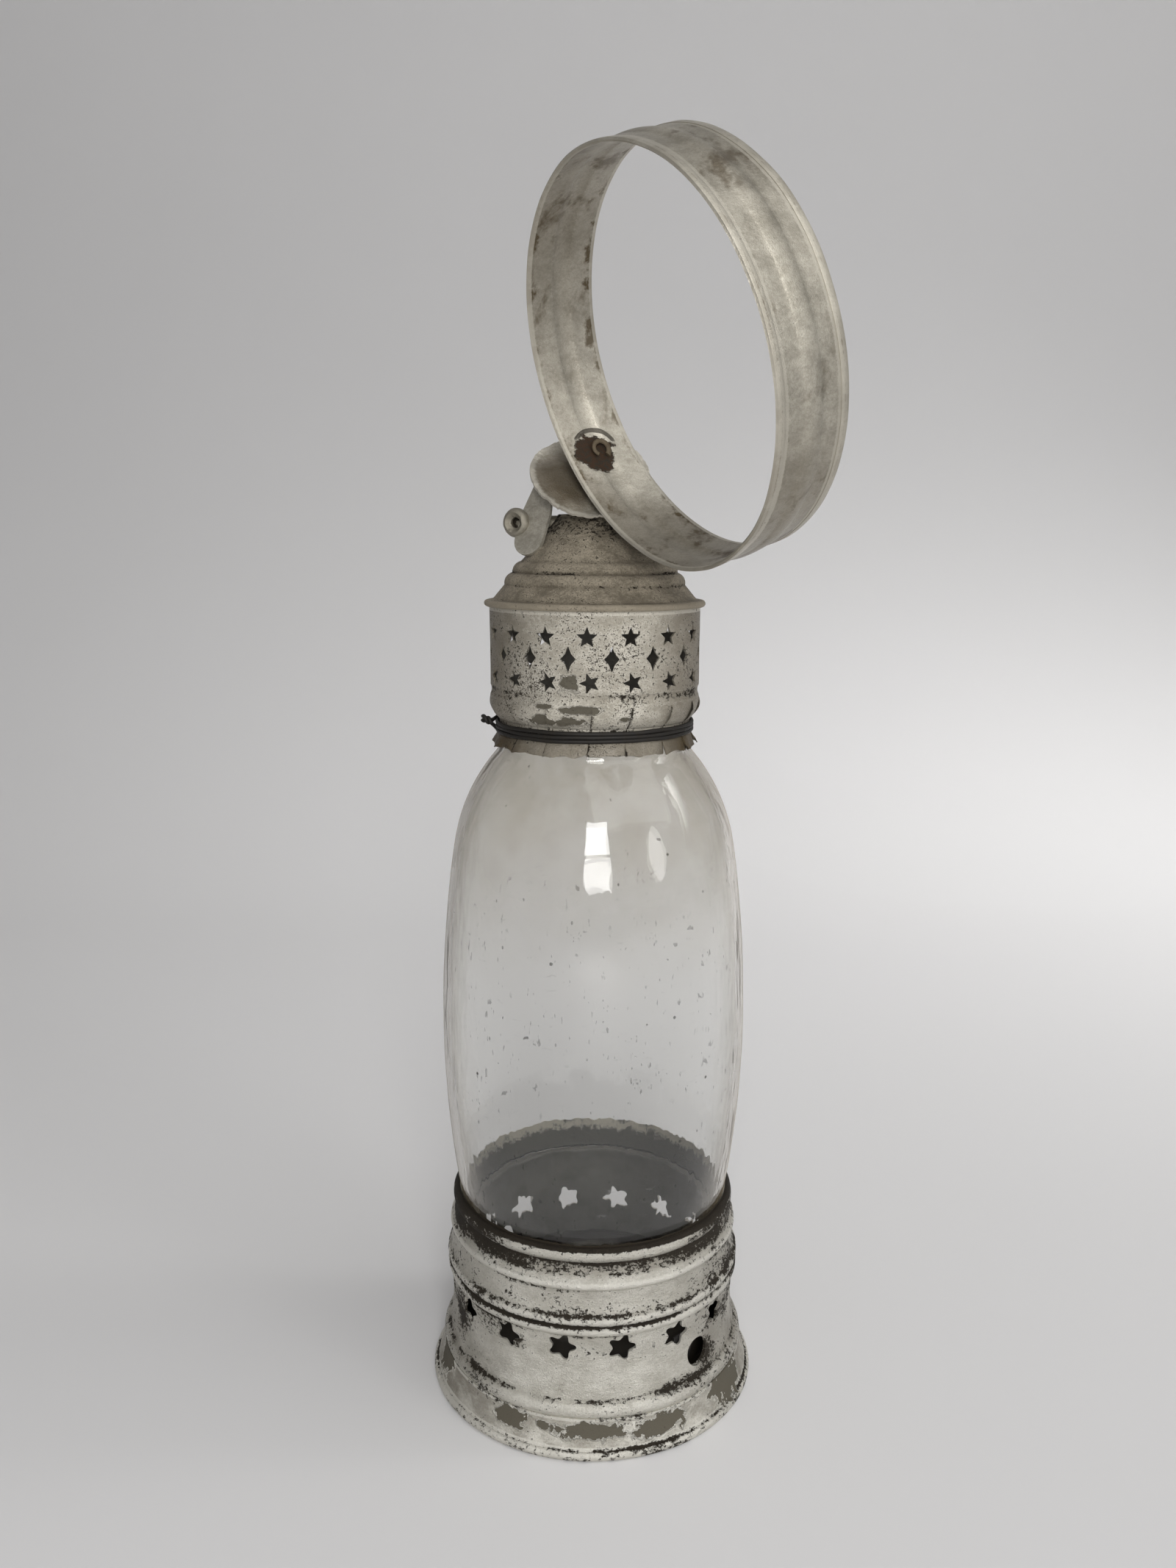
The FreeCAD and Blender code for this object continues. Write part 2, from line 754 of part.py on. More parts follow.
def along_hinge(level):
    """Frame whose Z runs along the hinge at a level."""
    along = lean_frame(size.hinge_azimuth.value, 0)[0]
    return placed(Vector(0, 0, level.value), Vector(0, 0, 1), along)


def cross_rod():
    reach = LEG_REACH + size.leg_wall
    end = reach + size.rod_head_length
    neck = size.rod_head_radius - size.rod_bore_radius / 2
    body = lathe("cross_rod", [
        (size.rod_bore_radius, -end),
        (neck, -end),
        (neck, -reach, size.rod_head_curve),
        (size.rod_radius, -reach),
        (size.rod_radius, reach),
        (neck, reach),
        (neck, end, size.rod_head_curve),
        (size.rod_bore_radius, end),
    ])
    body.Placement = along_hinge(size.rod_level)


def hinge_wire():
    reach = size.leg_top_reach + size.leg_wall + size.hinge_wire_radius * 2
    body = new_body("hinge_wire")
    section = sketch_on(body, "XY_Plane")
    circle(section, 0, 0, size.hinge_wire_radius)
    pad(body, section, reach * 2, midplane=True)
    body.Placement = along_hinge(size.hinge_level)


# Handle: smoke disc, knuckle, ring and the rivet between them
DISC_ALONG, DISC_NORMAL, DISC_UP = lean_frame(size.hinge_azimuth.value, size.disc_rest_elevation.value)
RING_ALONG, RING_NORMAL = lean_frame(size.ring_azimuth.value, size.ring_elevation.value)[:2]
RING_AXIS = Rotation(RING_NORMAL, size.ring_twist.value).multVec(RING_ALONG)
HINGE_POINT = Vector(0, 0, size.hinge_level.value)
DISC_TOP = size.disc_offset + size.disc_wall
SEAT_POINT = HINGE_POINT + DISC_UP * size.ring_seat_offset.value
SEAT_POINT += DISC_ALONG * size.ring_seat_shift.value
SEAT_POINT += DISC_NORMAL * (DISC_TOP + size.ring_lift).value
RING_CENTRE = SEAT_POINT + RING_NORMAL * size.ring_radius.value
BEAD_RISE = size.ring_bead_curve - root(
    size.ring_bead_curve * size.ring_bead_curve - size.ring_bead_width * size.ring_bead_width / 4)


def smoke_disc():
    top = size.disc_offset + size.disc_wall
    flat = size.disc_radius - size.disc_rim_width
    body = lathe("smoke_disc", [
        (0, size.disc_offset),
        (flat, size.disc_offset),
        (size.disc_radius, size.disc_offset + size.disc_rim_rise),
        (size.disc_radius, top + size.disc_rim_rise),
        (flat, top),
        (0, top),
    ])
    middle = HINGE_POINT + DISC_ALONG * size.disc_shift.value
    body.Placement = placed(middle, DISC_ALONG, DISC_NORMAL)


def disc_knuckle():
    body = new_body("disc_knuckle")
    section = sketch_on(body, "XY_Plane")
    radius, flat = size.knuckle_radius, size.disc_offset
    half = root(radius * radius - flat * flat)
    outline(section, [
        (flat, half),
        (-radius, 0, radius),
        (flat, -half, radius),
    ])
    circle(section, 0, 0, size.hinge_wire_radius + size.running_clearance)
    length = (size.leg_top_reach - size.body_clearance) * 2
    pad(body, section, length, midplane=True)
    body.Placement = placed(HINGE_POINT, DISC_NORMAL, DISC_ALONG)


def ring_strap():
    inner = size.ring_radius - size.ring_wall / 2
    outer = size.ring_radius + size.ring_wall / 2
    half = size.ring_width / 2
    edge = half - size.ring_edge_width
    bead = size.ring_bead_width / 2
    curve = size.ring_bead_curve
    body = lathe("ring_strap", [
        (inner, -half),
        (outer + size.ring_edge_rise, -half),
        (outer + size.ring_edge_rise, -edge),
        (outer, -edge),
        (outer, -bead),
        (outer, bead, curve),
        (outer, edge),
        (outer + size.ring_edge_rise, edge),
        (outer + size.ring_edge_rise, half),
        (inner, half),
        (inner, bead),
        (inner, -bead, -curve),
    ])
    hole = sketch_on(body, "YZ_Plane")
    circle(hole, 0, 0, size.rivet_radius)
    cut_outward(body, hole)
    body.Placement = placed(RING_CENTRE, RING_NORMAL * -1, RING_AXIS)


def primitive(kind, label, place, **sizes):
    """Part primitive with its sizes tied to the sheet."""
    item = doc.addObject("Part::" + kind, label)
    for name, dim in sizes.items():
        bind(item, name, dim)
    item.Placement = place
    return item


def cut_from(label, base, tool):
    item = doc.addObject("Part::Cut", label)
    item.Label = label
    item.Base = base
    item.Tool = tool
    return item


def ring_boss():
    """Solder boss that fills the wedge between the disc and the strap."""
    depth = size.ring_lift * 3
    low = SEAT_POINT - RING_NORMAL * depth.value
    axis = placed(low, RING_AXIS, RING_NORMAL)
    post = primitive("Cylinder", "boss_post", axis, Radius=size.ring_boss_radius, Height=depth)
    bore = primitive("Cylinder", "boss_bore", axis, Radius=size.rivet_radius, Height=depth)
    half = size.ring_width
    hoop_place = placed(RING_CENTRE - RING_AXIS * half.value, RING_NORMAL, RING_AXIS)
    crown = size.ring_radius + size.ring_wall / 2 + BEAD_RISE
    hoop = primitive("Cylinder", "boss_hoop", hoop_place, Radius=crown, Height=half * 2)
    corner = HINGE_POINT - (DISC_ALONG + DISC_UP) * size.disc_radius.value
    corner += DISC_NORMAL * (DISC_TOP - depth * 2).value
    across = size.disc_radius * 2
    below = primitive("Box", "boss_floor", placed(corner, DISC_ALONG, DISC_NORMAL),
                      Length=across, Width=across, Height=depth * 2)
    item = cut_from("ring_boss", cut_from("boss_trim", cut_from("boss_open", post, bore), hoop), below)
    pieces.append(item)


def ring_rivet():
    """Hollow rivet through the strap into the boss, with its curled head inside the ring."""
    head = size.rivet_head_radius
    step = size.ring_wall / 2 + head * head / ((size.ring_radius - size.ring_wall) * 2)
    top = size.rivet_head_height
    body = lathe("ring_rivet", [
        (size.rivet_bore_radius, -(size.ring_lift / 2)),
        (size.rivet_radius, -(size.ring_lift / 2)),
        (size.rivet_radius, step),
        (head, step),
        (head, step + top / 2),
        (head - top / 2, step + top, top / 2),
        (size.rivet_bore_radius, step + top),
    ])
    body.Placement = placed(SEAT_POINT, RING_AXIS, RING_NORMAL)


# Drop-in font and burner
FONT_FLANGE_TOP = size.foot_height - size.body_clearance / 2
FONT_FLANGE_LOW = FONT_FLANGE_TOP - size.font_flange_wall
LID_TOP = size.font_top_level + size.tin_wall + size.font_lid_rise
PLATE_LOW = LID_TOP + size.burner_height
PLATE_TOP = PLATE_LOW + size.burner_plate_wall


def font_cup():
    inner = FONT_RADIUS - size.tin_wall
    lathe("font_cup", [
        (0, size.font_bottom_level),
        (FONT_RADIUS, size.font_bottom_level),
        (FONT_RADIUS, size.font_top_level),
        (inner, size.font_top_level),
        (inner, size.font_bottom_level + size.tin_wall),
        (0, size.font_bottom_level + size.tin_wall),
    ])


def font_flange():
    edge = BASE_LOW_RADIUS + size.font_flange_overlap
    lathe("font_flange", [
        (FONT_RADIUS, FONT_FLANGE_LOW),
        (edge, FONT_FLANGE_LOW),
        (edge, FONT_FLANGE_TOP),
        (FONT_RADIUS, FONT_FLANGE_TOP),
    ])


def font_lid():
    edge = FONT_RADIUS + size.font_lid_overhang
    low, wall = size.font_top_level, size.tin_wall
    bore = size.burner_radius - wall * 2
    lathe("font_lid", [
        (FONT_RADIUS - wall * 2, low),
        (edge, low),
        (edge, low + wall),
        (FONT_RADIUS - wall * 2, low + wall),
        (size.burner_radius + wall, LID_TOP),
        (bore, LID_TOP),
        (bore, LID_TOP - wall),
        (size.burner_radius + wall, LID_TOP - wall),
    ])


def burner_collar():
    wall = size.tin_wall
    lathe("burner_collar", [
        (size.burner_radius - wall, LID_TOP),
        (size.burner_radius, LID_TOP),
        (size.burner_radius, PLATE_LOW),
        (size.burner_radius - wall, PLATE_LOW),
    ])


def burner_plate():
    edge = size.burner_radius + size.burner_plate_overhang
    body = lathe("burner_plate", [
        (0, PLATE_LOW),
        (edge, PLATE_LOW),
        (edge, PLATE_TOP),
        (0, PLATE_TOP),
    ])
    holes = sketch_on(body, "XY_Plane")
    for side in (-1, 1):
        circle(holes, size.wick_spacing / 2 * side, 0, size.wick_tube_radius)
    cut_outward(body, holes, both_ways=True)


def upright(label, x, low, high, outer, inner=None):
    """Round bar or tube that stands on a level."""
    body = new_body(label)
    section = sketch_on(body, "XY_Plane")
    section.AttachmentOffset = Placement(Vector(0, 0, low.value), Rotation())
    bind(section, "AttachmentOffset.Base.z", low)
    circle(section, x, 0, outer)
    if inner is not None:
        circle(section, x, 0, inner)
    pad(body, section, high - low)


def burner_tubes():
    low = PLATE_LOW - size.wick_tube_drop
    for name, side in (("left", -1), ("right", 1)):
        x = size.wick_spacing / 2 * side
        upright("wick_tube_" + name, x, low, size.wick_tube_top, size.wick_tube_radius, size.wick_radius)
        upright("wick_" + name, x, low - size.wick_tube_drop, size.wick_top, size.wick_radius)


# Spring catches on the font, one behind each catch hole
CATCH_ROOT_LEVEL = FONT_FLANGE_TOP + size.running_clearance
CATCH_BEND_LEVEL = CATCH_ROOT_LEVEL + size.catch_root_height


def catch_place(side):
    """Frame of a catch: X outwards through its hole, Z up."""
    turn = size.catch_azimuth.value - 90 + (0 if side > 0 else 180)
    return Placement(Vector(), Rotation(Vector(0, 0, 1), turn))


def catch(name, side):
    inner = FONT_RADIUS + size.running_clearance
    body = new_body("catch_spring_" + name)
    strip = sketch_on(body, "XZ_Plane")
    top = CATCH_BEND_LEVEL + size.catch_length
    lean = size.catch_lean
    outline(strip, [
        (inner, CATCH_ROOT_LEVEL),
        (inner + size.catch_wall, CATCH_ROOT_LEVEL),
        (inner + size.catch_wall, CATCH_BEND_LEVEL),
        (inner + size.catch_wall + lean, size.catch_hole_level - size.catch_nose_radius),
        (inner + size.catch_wall + lean, top),
        (inner + lean, top),
        (inner + lean, size.catch_hole_level - size.catch_nose_radius),
        (inner, CATCH_BEND_LEVEL),
    ])
    pad(body, strip, size.catch_width, midplane=True)
    body.Placement = catch_place(side)
    nose = new_body("catch_nose_" + name)
    section = sketch_on(nose, "YZ_Plane")
    start = inner + size.catch_wall + lean
    section.AttachmentOffset = Placement(Vector(0, 0, start.value), Rotation())
    bind(section, "AttachmentOffset.Base.z", start)
    circle(section, 0, size.catch_hole_level, size.catch_nose_radius)
    pad(nose, section, BASE_INNER - size.catch_nose_gap - start)
    nose.Placement = catch_place(side)


def export():
    """Check every object and write each piece to its own file."""
    doc.recompute()
    faults = [item.Name for item in doc.Objects if "Invalid" in item.State or "Error" in item.State]
    faults += [item.Label for item in pieces if item.Shape.isNull() or not item.Shape.isValid()]
    faults += [item.Label for item in pieces if len(item.Shape.Solids) != 1]
    if faults:
        raise RuntimeError("failed objects: " + ", ".join(faults))
    os.makedirs("parts", exist_ok=True)
    for item in pieces:
        item.Shape.exportStep("parts/%s.step" % item.Label)
    print("%d pieces written" % len(pieces))


for make in (foot_ring, base_shell, globe_seat, globe, plaster_bed, vent_band, binding_wire, cone_cap):
    make()
for side_name, side_sign in (("left", -1), ("right", 1)):
    leg("leg_" + side_name, side_sign)
for make in (cross_rod, hinge_wire, smoke_disc, disc_knuckle, ring_strap, ring_boss, ring_rivet):
    make()
for make in (font_cup, font_flange, font_lid, burner_collar, burner_plate, burner_tubes):
    make()
for side_name, side_sign in (("left", -1), ("right", 1)):
    catch(side_name, side_sign)
export()
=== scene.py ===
"""Tin hand lantern: worn silver paint, blown glass, a pierced vent band and a tilting ring handle."""
import json
import math

import bmesh
import bpy
import numpy as np
from bpy.props import FloatProperty, FloatVectorProperty, IntProperty, PointerProperty
from mathutils import Matrix, Vector, noise


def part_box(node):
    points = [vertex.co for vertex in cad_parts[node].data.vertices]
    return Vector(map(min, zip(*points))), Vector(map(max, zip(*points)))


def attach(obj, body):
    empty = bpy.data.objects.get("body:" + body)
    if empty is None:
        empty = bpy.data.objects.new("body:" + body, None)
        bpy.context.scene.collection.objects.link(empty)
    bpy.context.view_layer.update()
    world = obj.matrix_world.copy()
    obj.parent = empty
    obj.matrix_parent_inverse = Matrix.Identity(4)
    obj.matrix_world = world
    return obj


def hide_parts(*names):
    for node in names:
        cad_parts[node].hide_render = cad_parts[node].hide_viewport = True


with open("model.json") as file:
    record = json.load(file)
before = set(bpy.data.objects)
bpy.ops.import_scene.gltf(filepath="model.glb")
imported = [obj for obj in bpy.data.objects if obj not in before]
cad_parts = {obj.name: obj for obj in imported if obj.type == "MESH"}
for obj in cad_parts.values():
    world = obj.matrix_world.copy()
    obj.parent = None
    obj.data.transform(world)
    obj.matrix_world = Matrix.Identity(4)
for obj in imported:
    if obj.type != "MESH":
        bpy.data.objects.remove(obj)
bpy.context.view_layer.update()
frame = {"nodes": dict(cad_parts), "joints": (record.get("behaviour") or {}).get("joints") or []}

bl_info = {
    "name": "Tin Hand Lantern",
    "version": (1, 0, 0),
    "blender": (4, 5, 0),
    "location": "View3D > Sidebar > Lantern",
    "description": "Builds the finishes of a fixed-globe tin hand lantern round its solid frame",
    "category": "Add Mesh",
}

MM = 0.001
FULL_TURN = 2 * math.pi
HALF_TURN = math.pi
QUARTER_TURN = math.pi / 2
UP = Vector((0, 0, 1))

FOOT_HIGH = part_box("foot_ring")[1]
BASE_LOW, BASE_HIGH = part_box("base_shell")
GLOBE_LOW, GLOBE_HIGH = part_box("globe")
BAND_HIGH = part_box("vent_band")[1]
CAP_LOW, CAP_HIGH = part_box("cone_cap")
HINGE = next(joint for joint in frame["joints"] if joint["name"] == "handle_tilt")

# Chips and dirt on turned walls: azimuth, level, half width and half height, in degrees and millimetres
FOOT_CHIPS = (
    (-30.0, 9.6, 6.0, 2.9), (-17.5, 9.9, 2.2, 1.6), (-0.5, 9.2, 11.0, 2.6), (25.5, 8.6, 9.5, 3.4),
    (60.0, 9.0, 11.0, 6.0), (-72.0, 10.0, 7.0, 5.4), (118.0, 8.0, 9.0, 3.0), (171.0, 8.6, 12.0, 2.8),
    (-128.0, 7.4, 8.0, 3.4))
BASE_DIRT = (
    (50.0, 25.0, 9.0, 9.5), (33.0, 18.6, 14.0, 3.6), (225.0, 24.5, 8.0, 8.0), (66.0, 31.0, 9.0, 9.0),
    (-64.0, 31.0, 10.0, 11.0), (-29.0, 35.0, 6.0, 4.5))
BAND_CHIPS = (
    (-13.5, 250.0, 2.9, 2.4), (-9.0, 242.2, 6.4, 1.2), (-31.0, 238.4, 5.6, 1.8), (-13.2, 238.4, 4.2, 1.4),
    (16.5, 239.2, 2.0, 0.9), (-27.0, 243.0, 3.0, 0.8), (140.0, 241.0, 6.0, 1.4), (-150.0, 247.0, 3.0, 2.0))

# Noises of the finishes: scale per millimetre, detail and roughness
NOISES = {
    "paint clouds": (0.055, 3.0, 0.6),
    "paint wear": (0.2, 5.0, 0.66),
    "paint flecks": (0.98, 5.0, 0.78),
    "paint grain": (2.3, 3.0, 0.7),
    "paint patches": (0.085, 3.0, 0.6),
    "paint flakes": (0.24, 5.0, 0.62),
    "foot film": (0.13, 5.0, 0.68),
    "base film": (0.09, 4.0, 0.65),
    "disc stain": (0.12, 3.0, 0.6),
    "finger marks": (0.075, 5.0, 0.66),
    "strap edges": (0.11, 4.0, 0.65),
    "tin smoke": (0.08, 4.0, 0.6),
    "tin grain": (1.4, 4.0, 0.6),
    "tarnish": (0.3, 4.0, 0.6),
    "metal grain": (4.0, 4.0, 0.65),
    "plaster lumps": (0.5, 5.0, 0.65),
    "plaster dirt": (0.16, 4.0, 0.65),
    "glass waves": (0.06, 3.0, 0.55),
    "glass clouds": (0.05, 4.0, 0.6),
    "glass dashes": (0.7, 2.0, 0.5),
    "glass scuffs": (0.5, 3.0, 0.6),
    "sweep mottle": (0.004, 2.0, 0.5),
}

# Noises of the tabs' ragged ends, per metre
NOISES["tab waves"] = (140.0, 2.0, 0.5)
NOISES["tab teeth"] = (520.0, 2.0, 0.5)

# Lumps of the plaster's top edge: how fine they are, and their share of the height
PLASTER_LUMPS = ((5, 0.6), (17, 0.5), (45, 0.35))


# Properties
def named(group):
    """Name each property of a group after its identifier, in plain words."""
    for word, held in group.__annotations__.items():
        held.keywords["name"] = word.replace("_", " ").capitalize()
    return group


def length_mm(description, value):
    return FloatProperty(description=description, default=value * MM, unit="LENGTH", precision=5)


def angle_deg(description, value):
    return FloatProperty(description=description, default=math.radians(value), subtype="ANGLE")


def whole_number(description, value):
    return IntProperty(description=description, default=value, min=1)


def fraction(description, value):
    return FloatProperty(description=description, default=value, subtype="FACTOR", min=0, max=1)


def colour_rgb(description, *value):
    return FloatVectorProperty(description=description, default=value, size=3, subtype="COLOR", min=0, max=1)


@named
class LanternSizes(bpy.types.PropertyGroup):
    """Sizes of the finished pieces."""

    steps_round: whole_number("Faces round each turned piece", 224)
    fine_step: length_mm("Longest face along a rounded outline", 0.45)
    long_step: length_mm("Longest face along a straight outline", 1.6)
    dent_depth: length_mm("How far old knocks push the tin in or out", 0.3)
    tin_wall: length_mm("Thickness of the tinplate", 0.9)

    hem_height: length_mm("Height of the rolled hem of the foot", 3.2)
    hem_width: length_mm("Width of the rolled hem of the foot", 2.6)
    foot_top_radius: length_mm("Radius where the foot meets the base", 53.0)
    foot_flare: length_mm("Radius of the foot's hollow flare", 24.0)

    bead_height: length_mm("Height of the bead over the foot", 4.7)
    bead_curve: length_mm("Radius of the bead over the foot", 3.2)
    waist_low: length_mm("Radius of the base over the bead", 51.0)
    waist_high: length_mm("Radius of the base under the belt", 50.4)
    waist_curve: length_mm("Radius of the base's hollow side", 74.0)
    belt_level: length_mm("Height of the two belt beads", 41.0)
    belt_bead: length_mm("Height of one belt bead", 3.5)
    belt_curve: length_mm("Radius of a belt bead", 2.1)
    cove_radius: length_mm("Radius at the top of the cove", 49.6)
    cove_height: length_mm("Height of the cove over the belt", 8.7)
    cove_curve: length_mm("Radius of the hollow cove", 20.0)
    neck_bead: length_mm("Height of the bead over the cove", 2.9)
    neck_curve: length_mm("Radius of the bead over the cove", 1.8)
    collar_roll: length_mm("Height of the collar's rolled edge", 5.0)
    collar_curve: length_mm("Radius of the collar's rolled edge", 2.75)
    collar_gap: length_mm("Plaster between the collar and the glass", 0.3)
    collar_wall: length_mm("Thickness of the collar", 0.8)
    seat_depth: length_mm("Height of the ledge over the neck bead", 1.6)

    star_count: whole_number("Stars in each row", 16)
    base_star_level: length_mm("Height of the base's stars", 36.5)
    base_star_reach: length_mm("Reach of a star's tips in the base", 6.5)
    base_star_waist: length_mm("Radius between a star's tips in the base", 2.85)
    star_rounding: length_mm("Radius of the punched corners in the base", 1.0)
    catch_radius: length_mm("Radius of a catch hole", 5.0)
    catch_half_width: length_mm("Half width of a catch hole", 4.6)
    catch_level: length_mm("Height of the catch holes", 26.0)
    catch_turn: angle_deg("Azimuth of the front catch hole", 45.0)

    belly_level: length_mm("Height of the widest part of the glass", 131.0)
    low_curve: length_mm("Radius of the glass below its belly", 366.0)
    high_curve: length_mm("Radius of the glass above its belly", 420.0)
    shoulder_level: length_mm("Height where the shoulder begins", 193.0)
    shoulder_curve: length_mm("Radius of the shoulder", 62.0)
    throat_level: length_mm("Height where the shoulder ends", 225.3)
    neck_radius: length_mm("Radius of the glass neck", 30.8)
    neck_level: length_mm("Height where the straight neck begins", 228.4)
    glass_wall: length_mm("Thickness of the glass", 2.2)
    glass_wave: length_mm("Unevenness of the blown glass", 0.1)
    plaster_rise: length_mm("How far the ragged plaster stands over the collar", 1.1)
    plaster_sink: length_mm("How far the ragged plaster falls below its bed's top", 0.3)
    plaster_root: length_mm("Depth of the plaster below the collar's edge", 3.0)
    plaster_skin: length_mm("Gap between the plaster and the glass", 0.02)

    band_wall: length_mm("Thickness of the vent band", 0.7)
    band_shoulder: length_mm("Height where the band is drawn in", 243.6)
    band_crease: length_mm("Depth of the crease over the drawn-in shoulder", 0.4)
    crease_bottom: length_mm("Height of the crease over the drawn-in shoulder", 2.2)
    crease_top: length_mm("Height where the crease ends", 3.4)
    crease_low_curve: length_mm("Radius of the crease below its bottom", 4.0)
    crease_high_curve: length_mm("Radius of the crease above its bottom", 3.0)
    band_draw: length_mm("Radius of the drawn-in shoulder", 9.0)
    groove_radius: length_mm("Radius of the band under the wire", 31.15)
    groove_low: length_mm("Lower edge of the wired groove", 232.0)
    groove_high: length_mm("Upper edge of the wired groove", 235.8)
    band_star_reach: length_mm("Reach of a star's tips in the band", 3.45)
    band_star_waist: length_mm("Radius between a star's tips in the band", 1.5)
    band_star_low: length_mm("Height of the band's lower stars", 250.5)
    band_star_high: length_mm("Height of the band's upper stars", 264.3)
    diamond_level: length_mm("Height of the diamonds", 257.8)
    band_rounding: length_mm("Radius of the punched corners in the band", 0.12)
    band_drift: angle_deg("How far the holes drift at the back", 4.0)
    diamond_hollow: fraction("How far a diamond's sides are drawn in", 0.56)
    diamond_width: length_mm("Width of a diamond", 4.9)
    diamond_height: length_mm("Height of a diamond", 8.2)
    band_turn: angle_deg("Azimuth of the first star column", -2.5)
    band_high_turn: angle_deg("Turn of the upper stars from the lower ones", -1.5)
    tab_thickness: length_mm("Thickness of a gathered tab", 0.35)
    tab_lift: length_mm("How far a tab's loose edge stands up", 0.95)
    tab_flare: length_mm("Radius of the tabs' flared ends", 33.3)
    tab_tip: length_mm("Height of the tabs' ends", 227.4)
    tab_top: length_mm("Height where the slits begin", 242.9)
    tab_steps: whole_number("Sections across a tab", 17)
    tab_lap: fraction("How far a tab laps over the next one", 0.12)
    tab_ripple: length_mm("Ripple in a tab's end", 0.25)
    tab_slant: angle_deg("Slant of the slits", 2.2)
    tab_stray: angle_deg("How far a tab strays from its place", 1.6)
    tab_ragged: length_mm("How ragged the tabs' ends are", 1.2)
    tab_ragged_run: length_mm("Length over which the tabs turn ragged", 4.0)

    wire_radius: length_mm("Radius of the binding wire", 0.66)
    wire_level: length_mm("Height of the binding wire", 233.7)
    wire_turns: whole_number("Turns of the wire round the band", 3)
    wire_pitch: length_mm("Rise of the wire in one turn", 1.22)
    wire_steps: whole_number("Sections in one turn of the wire", 120)
    wire_lead: length_mm("Length of wire between the band and the twist", 3.0)
    wire_waver: length_mm("How far the wire wavers", 0.25)
    pigtail_reach: length_mm("Length of the twisted wire end", 4.4)
    pigtail_lay: length_mm("Length of one twist of the wire end", 3.8)
    pigtail_spread: length_mm("Distance of a strand from the twist's axis", 0.78)
    pigtail_steps: whole_number("Sections along a twisted wire end", 40)

    rim_height: length_mm("Height of the cap's rolled rim", 1.9)
    rim_curve: length_mm("Radius of the cap's rolled rim", 1.05)
    rim_inset: length_mm("How far the edges of the rim lie inside its bulge", 0.75)
    brim_radius: length_mm("Radius where the cap's slope begins", 33.0)
    step_radius: length_mm("Radius at the cap's first step", 29.3)
    step_level: length_mm("Height of the cap's first step", 279.0)
    step_run: length_mm("Height of a cap step", 3.9)
    step_drop: length_mm("Narrowing at a cap step", 2.5)
    step_curve: length_mm("Radius of a cap step", 3.4)
    cone_radius: length_mm("Radius where the cone begins", 23.2)
    cone_level: length_mm("Height where the cone begins", 287.4)
    cone_top_radius: length_mm("Radius of the cone's mouth", 12.0)

    leg_width: length_mm("Width of the strips that carry the handle", 11.0)
    leg_wall: length_mm("Thickness of the strips", 1.2)
    leg_steps: whole_number("Faces round the foot of a strip", 24)
    leg_foot_reach: length_mm("Distance of a strip's foot from the axis", 24.3)
    leg_foot_turn: angle_deg("Azimuth of the left strip's foot", -66.0)
    leg_foot_level: length_mm("Height of a strip's foot", 288.4)
    leg_top_reach: length_mm("Distance of a strip's top from the axis", 15.8)
    leg_face: angle_deg("Azimuth that the left strip faces", -35.0)
    rod_level: length_mm("Height of the cross rod", 298.6)
    rod_reach: length_mm("Distance of the rod's rolled end from the axis", 25.6)
    rod_radius: length_mm("Radius of the cross rod", 2.3)
    rod_steps: whole_number("Faces round the cross rod", 40)
    rod_head: length_mm("Outer radius of the rolled rod end", 4.65)
    head_steps: whole_number("Faces round the rolled rod end", 56)
    rod_bore: length_mm("Radius of the hole in the rod's end", 1.7)
    rod_head_half: length_mm("Half the length of the rolled rod end", 1.9)
    rod_face: angle_deg("Azimuth that the left rolled end faces", -30.0)

    disc_radius: length_mm("Radius of the smoke disc", 19.2)
    disc_steps: whole_number("Faces round the smoke disc", 160)
    disc_offset: length_mm("Distance of the disc from its hinge", 2.5)
    disc_rim: length_mm("Width of the disc's turned rim", 3.5)
    disc_rise: length_mm("Rise of the disc's turned rim", 0.7)
    disc_folds: length_mm("Height of the folds in the disc's rim", 1.5)
    disc_lumps: length_mm("Height of the lumps in the disc's face", 0.35)
    disc_lean: angle_deg("Elevation of the disc's face at rest", 43.0)
    disc_droop: length_mm("How far the back left of the disc is bent down", 3.6)
    disc_shift: length_mm("Shift of the disc along its hinge", -2.3)

    ring_radius: length_mm("Middle radius of the strap ring", 56.7)
    ring_steps: whole_number("Faces round the strap ring", 288)
    ring_width: length_mm("Width of the strap", 22.8)
    ring_edge: length_mm("Width of the folded edges of the strap", 2.4)
    ring_edge_rise: length_mm("How far the folded edges stand out", 0.16)
    ring_bead: length_mm("Width of the pressed centre bead", 6.4)
    ring_bead_curve: length_mm("Radius of the pressed centre bead", 8.5)
    ring_lift: length_mm("Distance of the strap from the disc", 7.5)
    ring_seat: length_mm("Place of the rivet up the disc", 3.5)
    ring_shift: length_mm("Shift of the rivet along the hinge", 0.2)
    ring_rise: angle_deg("Elevation of the ring's middle from its rivet", 22.35)
    ring_turn: angle_deg("Azimuth of the ring's middle from its rivet", 22.5)
    ring_twist: angle_deg("Twist of the ring on its rivet", 19.5)

    rivet_steps: whole_number("Sections along the curled rivet", 30)
    rivet_corners: whole_number("Faces round the curled rivet", 10)
    rivet_start: angle_deg("Turn where the curl begins", -60.0)
    rivet_sweep: angle_deg("Turn from the start of the curl to its end", 290.0)
    rivet_reach: length_mm("Radius of the curl where it begins", 3.0)
    rivet_curl: length_mm("How far the curl draws in", 1.1)
    rivet_thick: length_mm("Radius of the curl's metal", 0.95)
    rivet_lift: length_mm("Height of the curl over the strap's middle", 0.75)
    rivet_arch: length_mm("How far the curl arches up", 0.35)


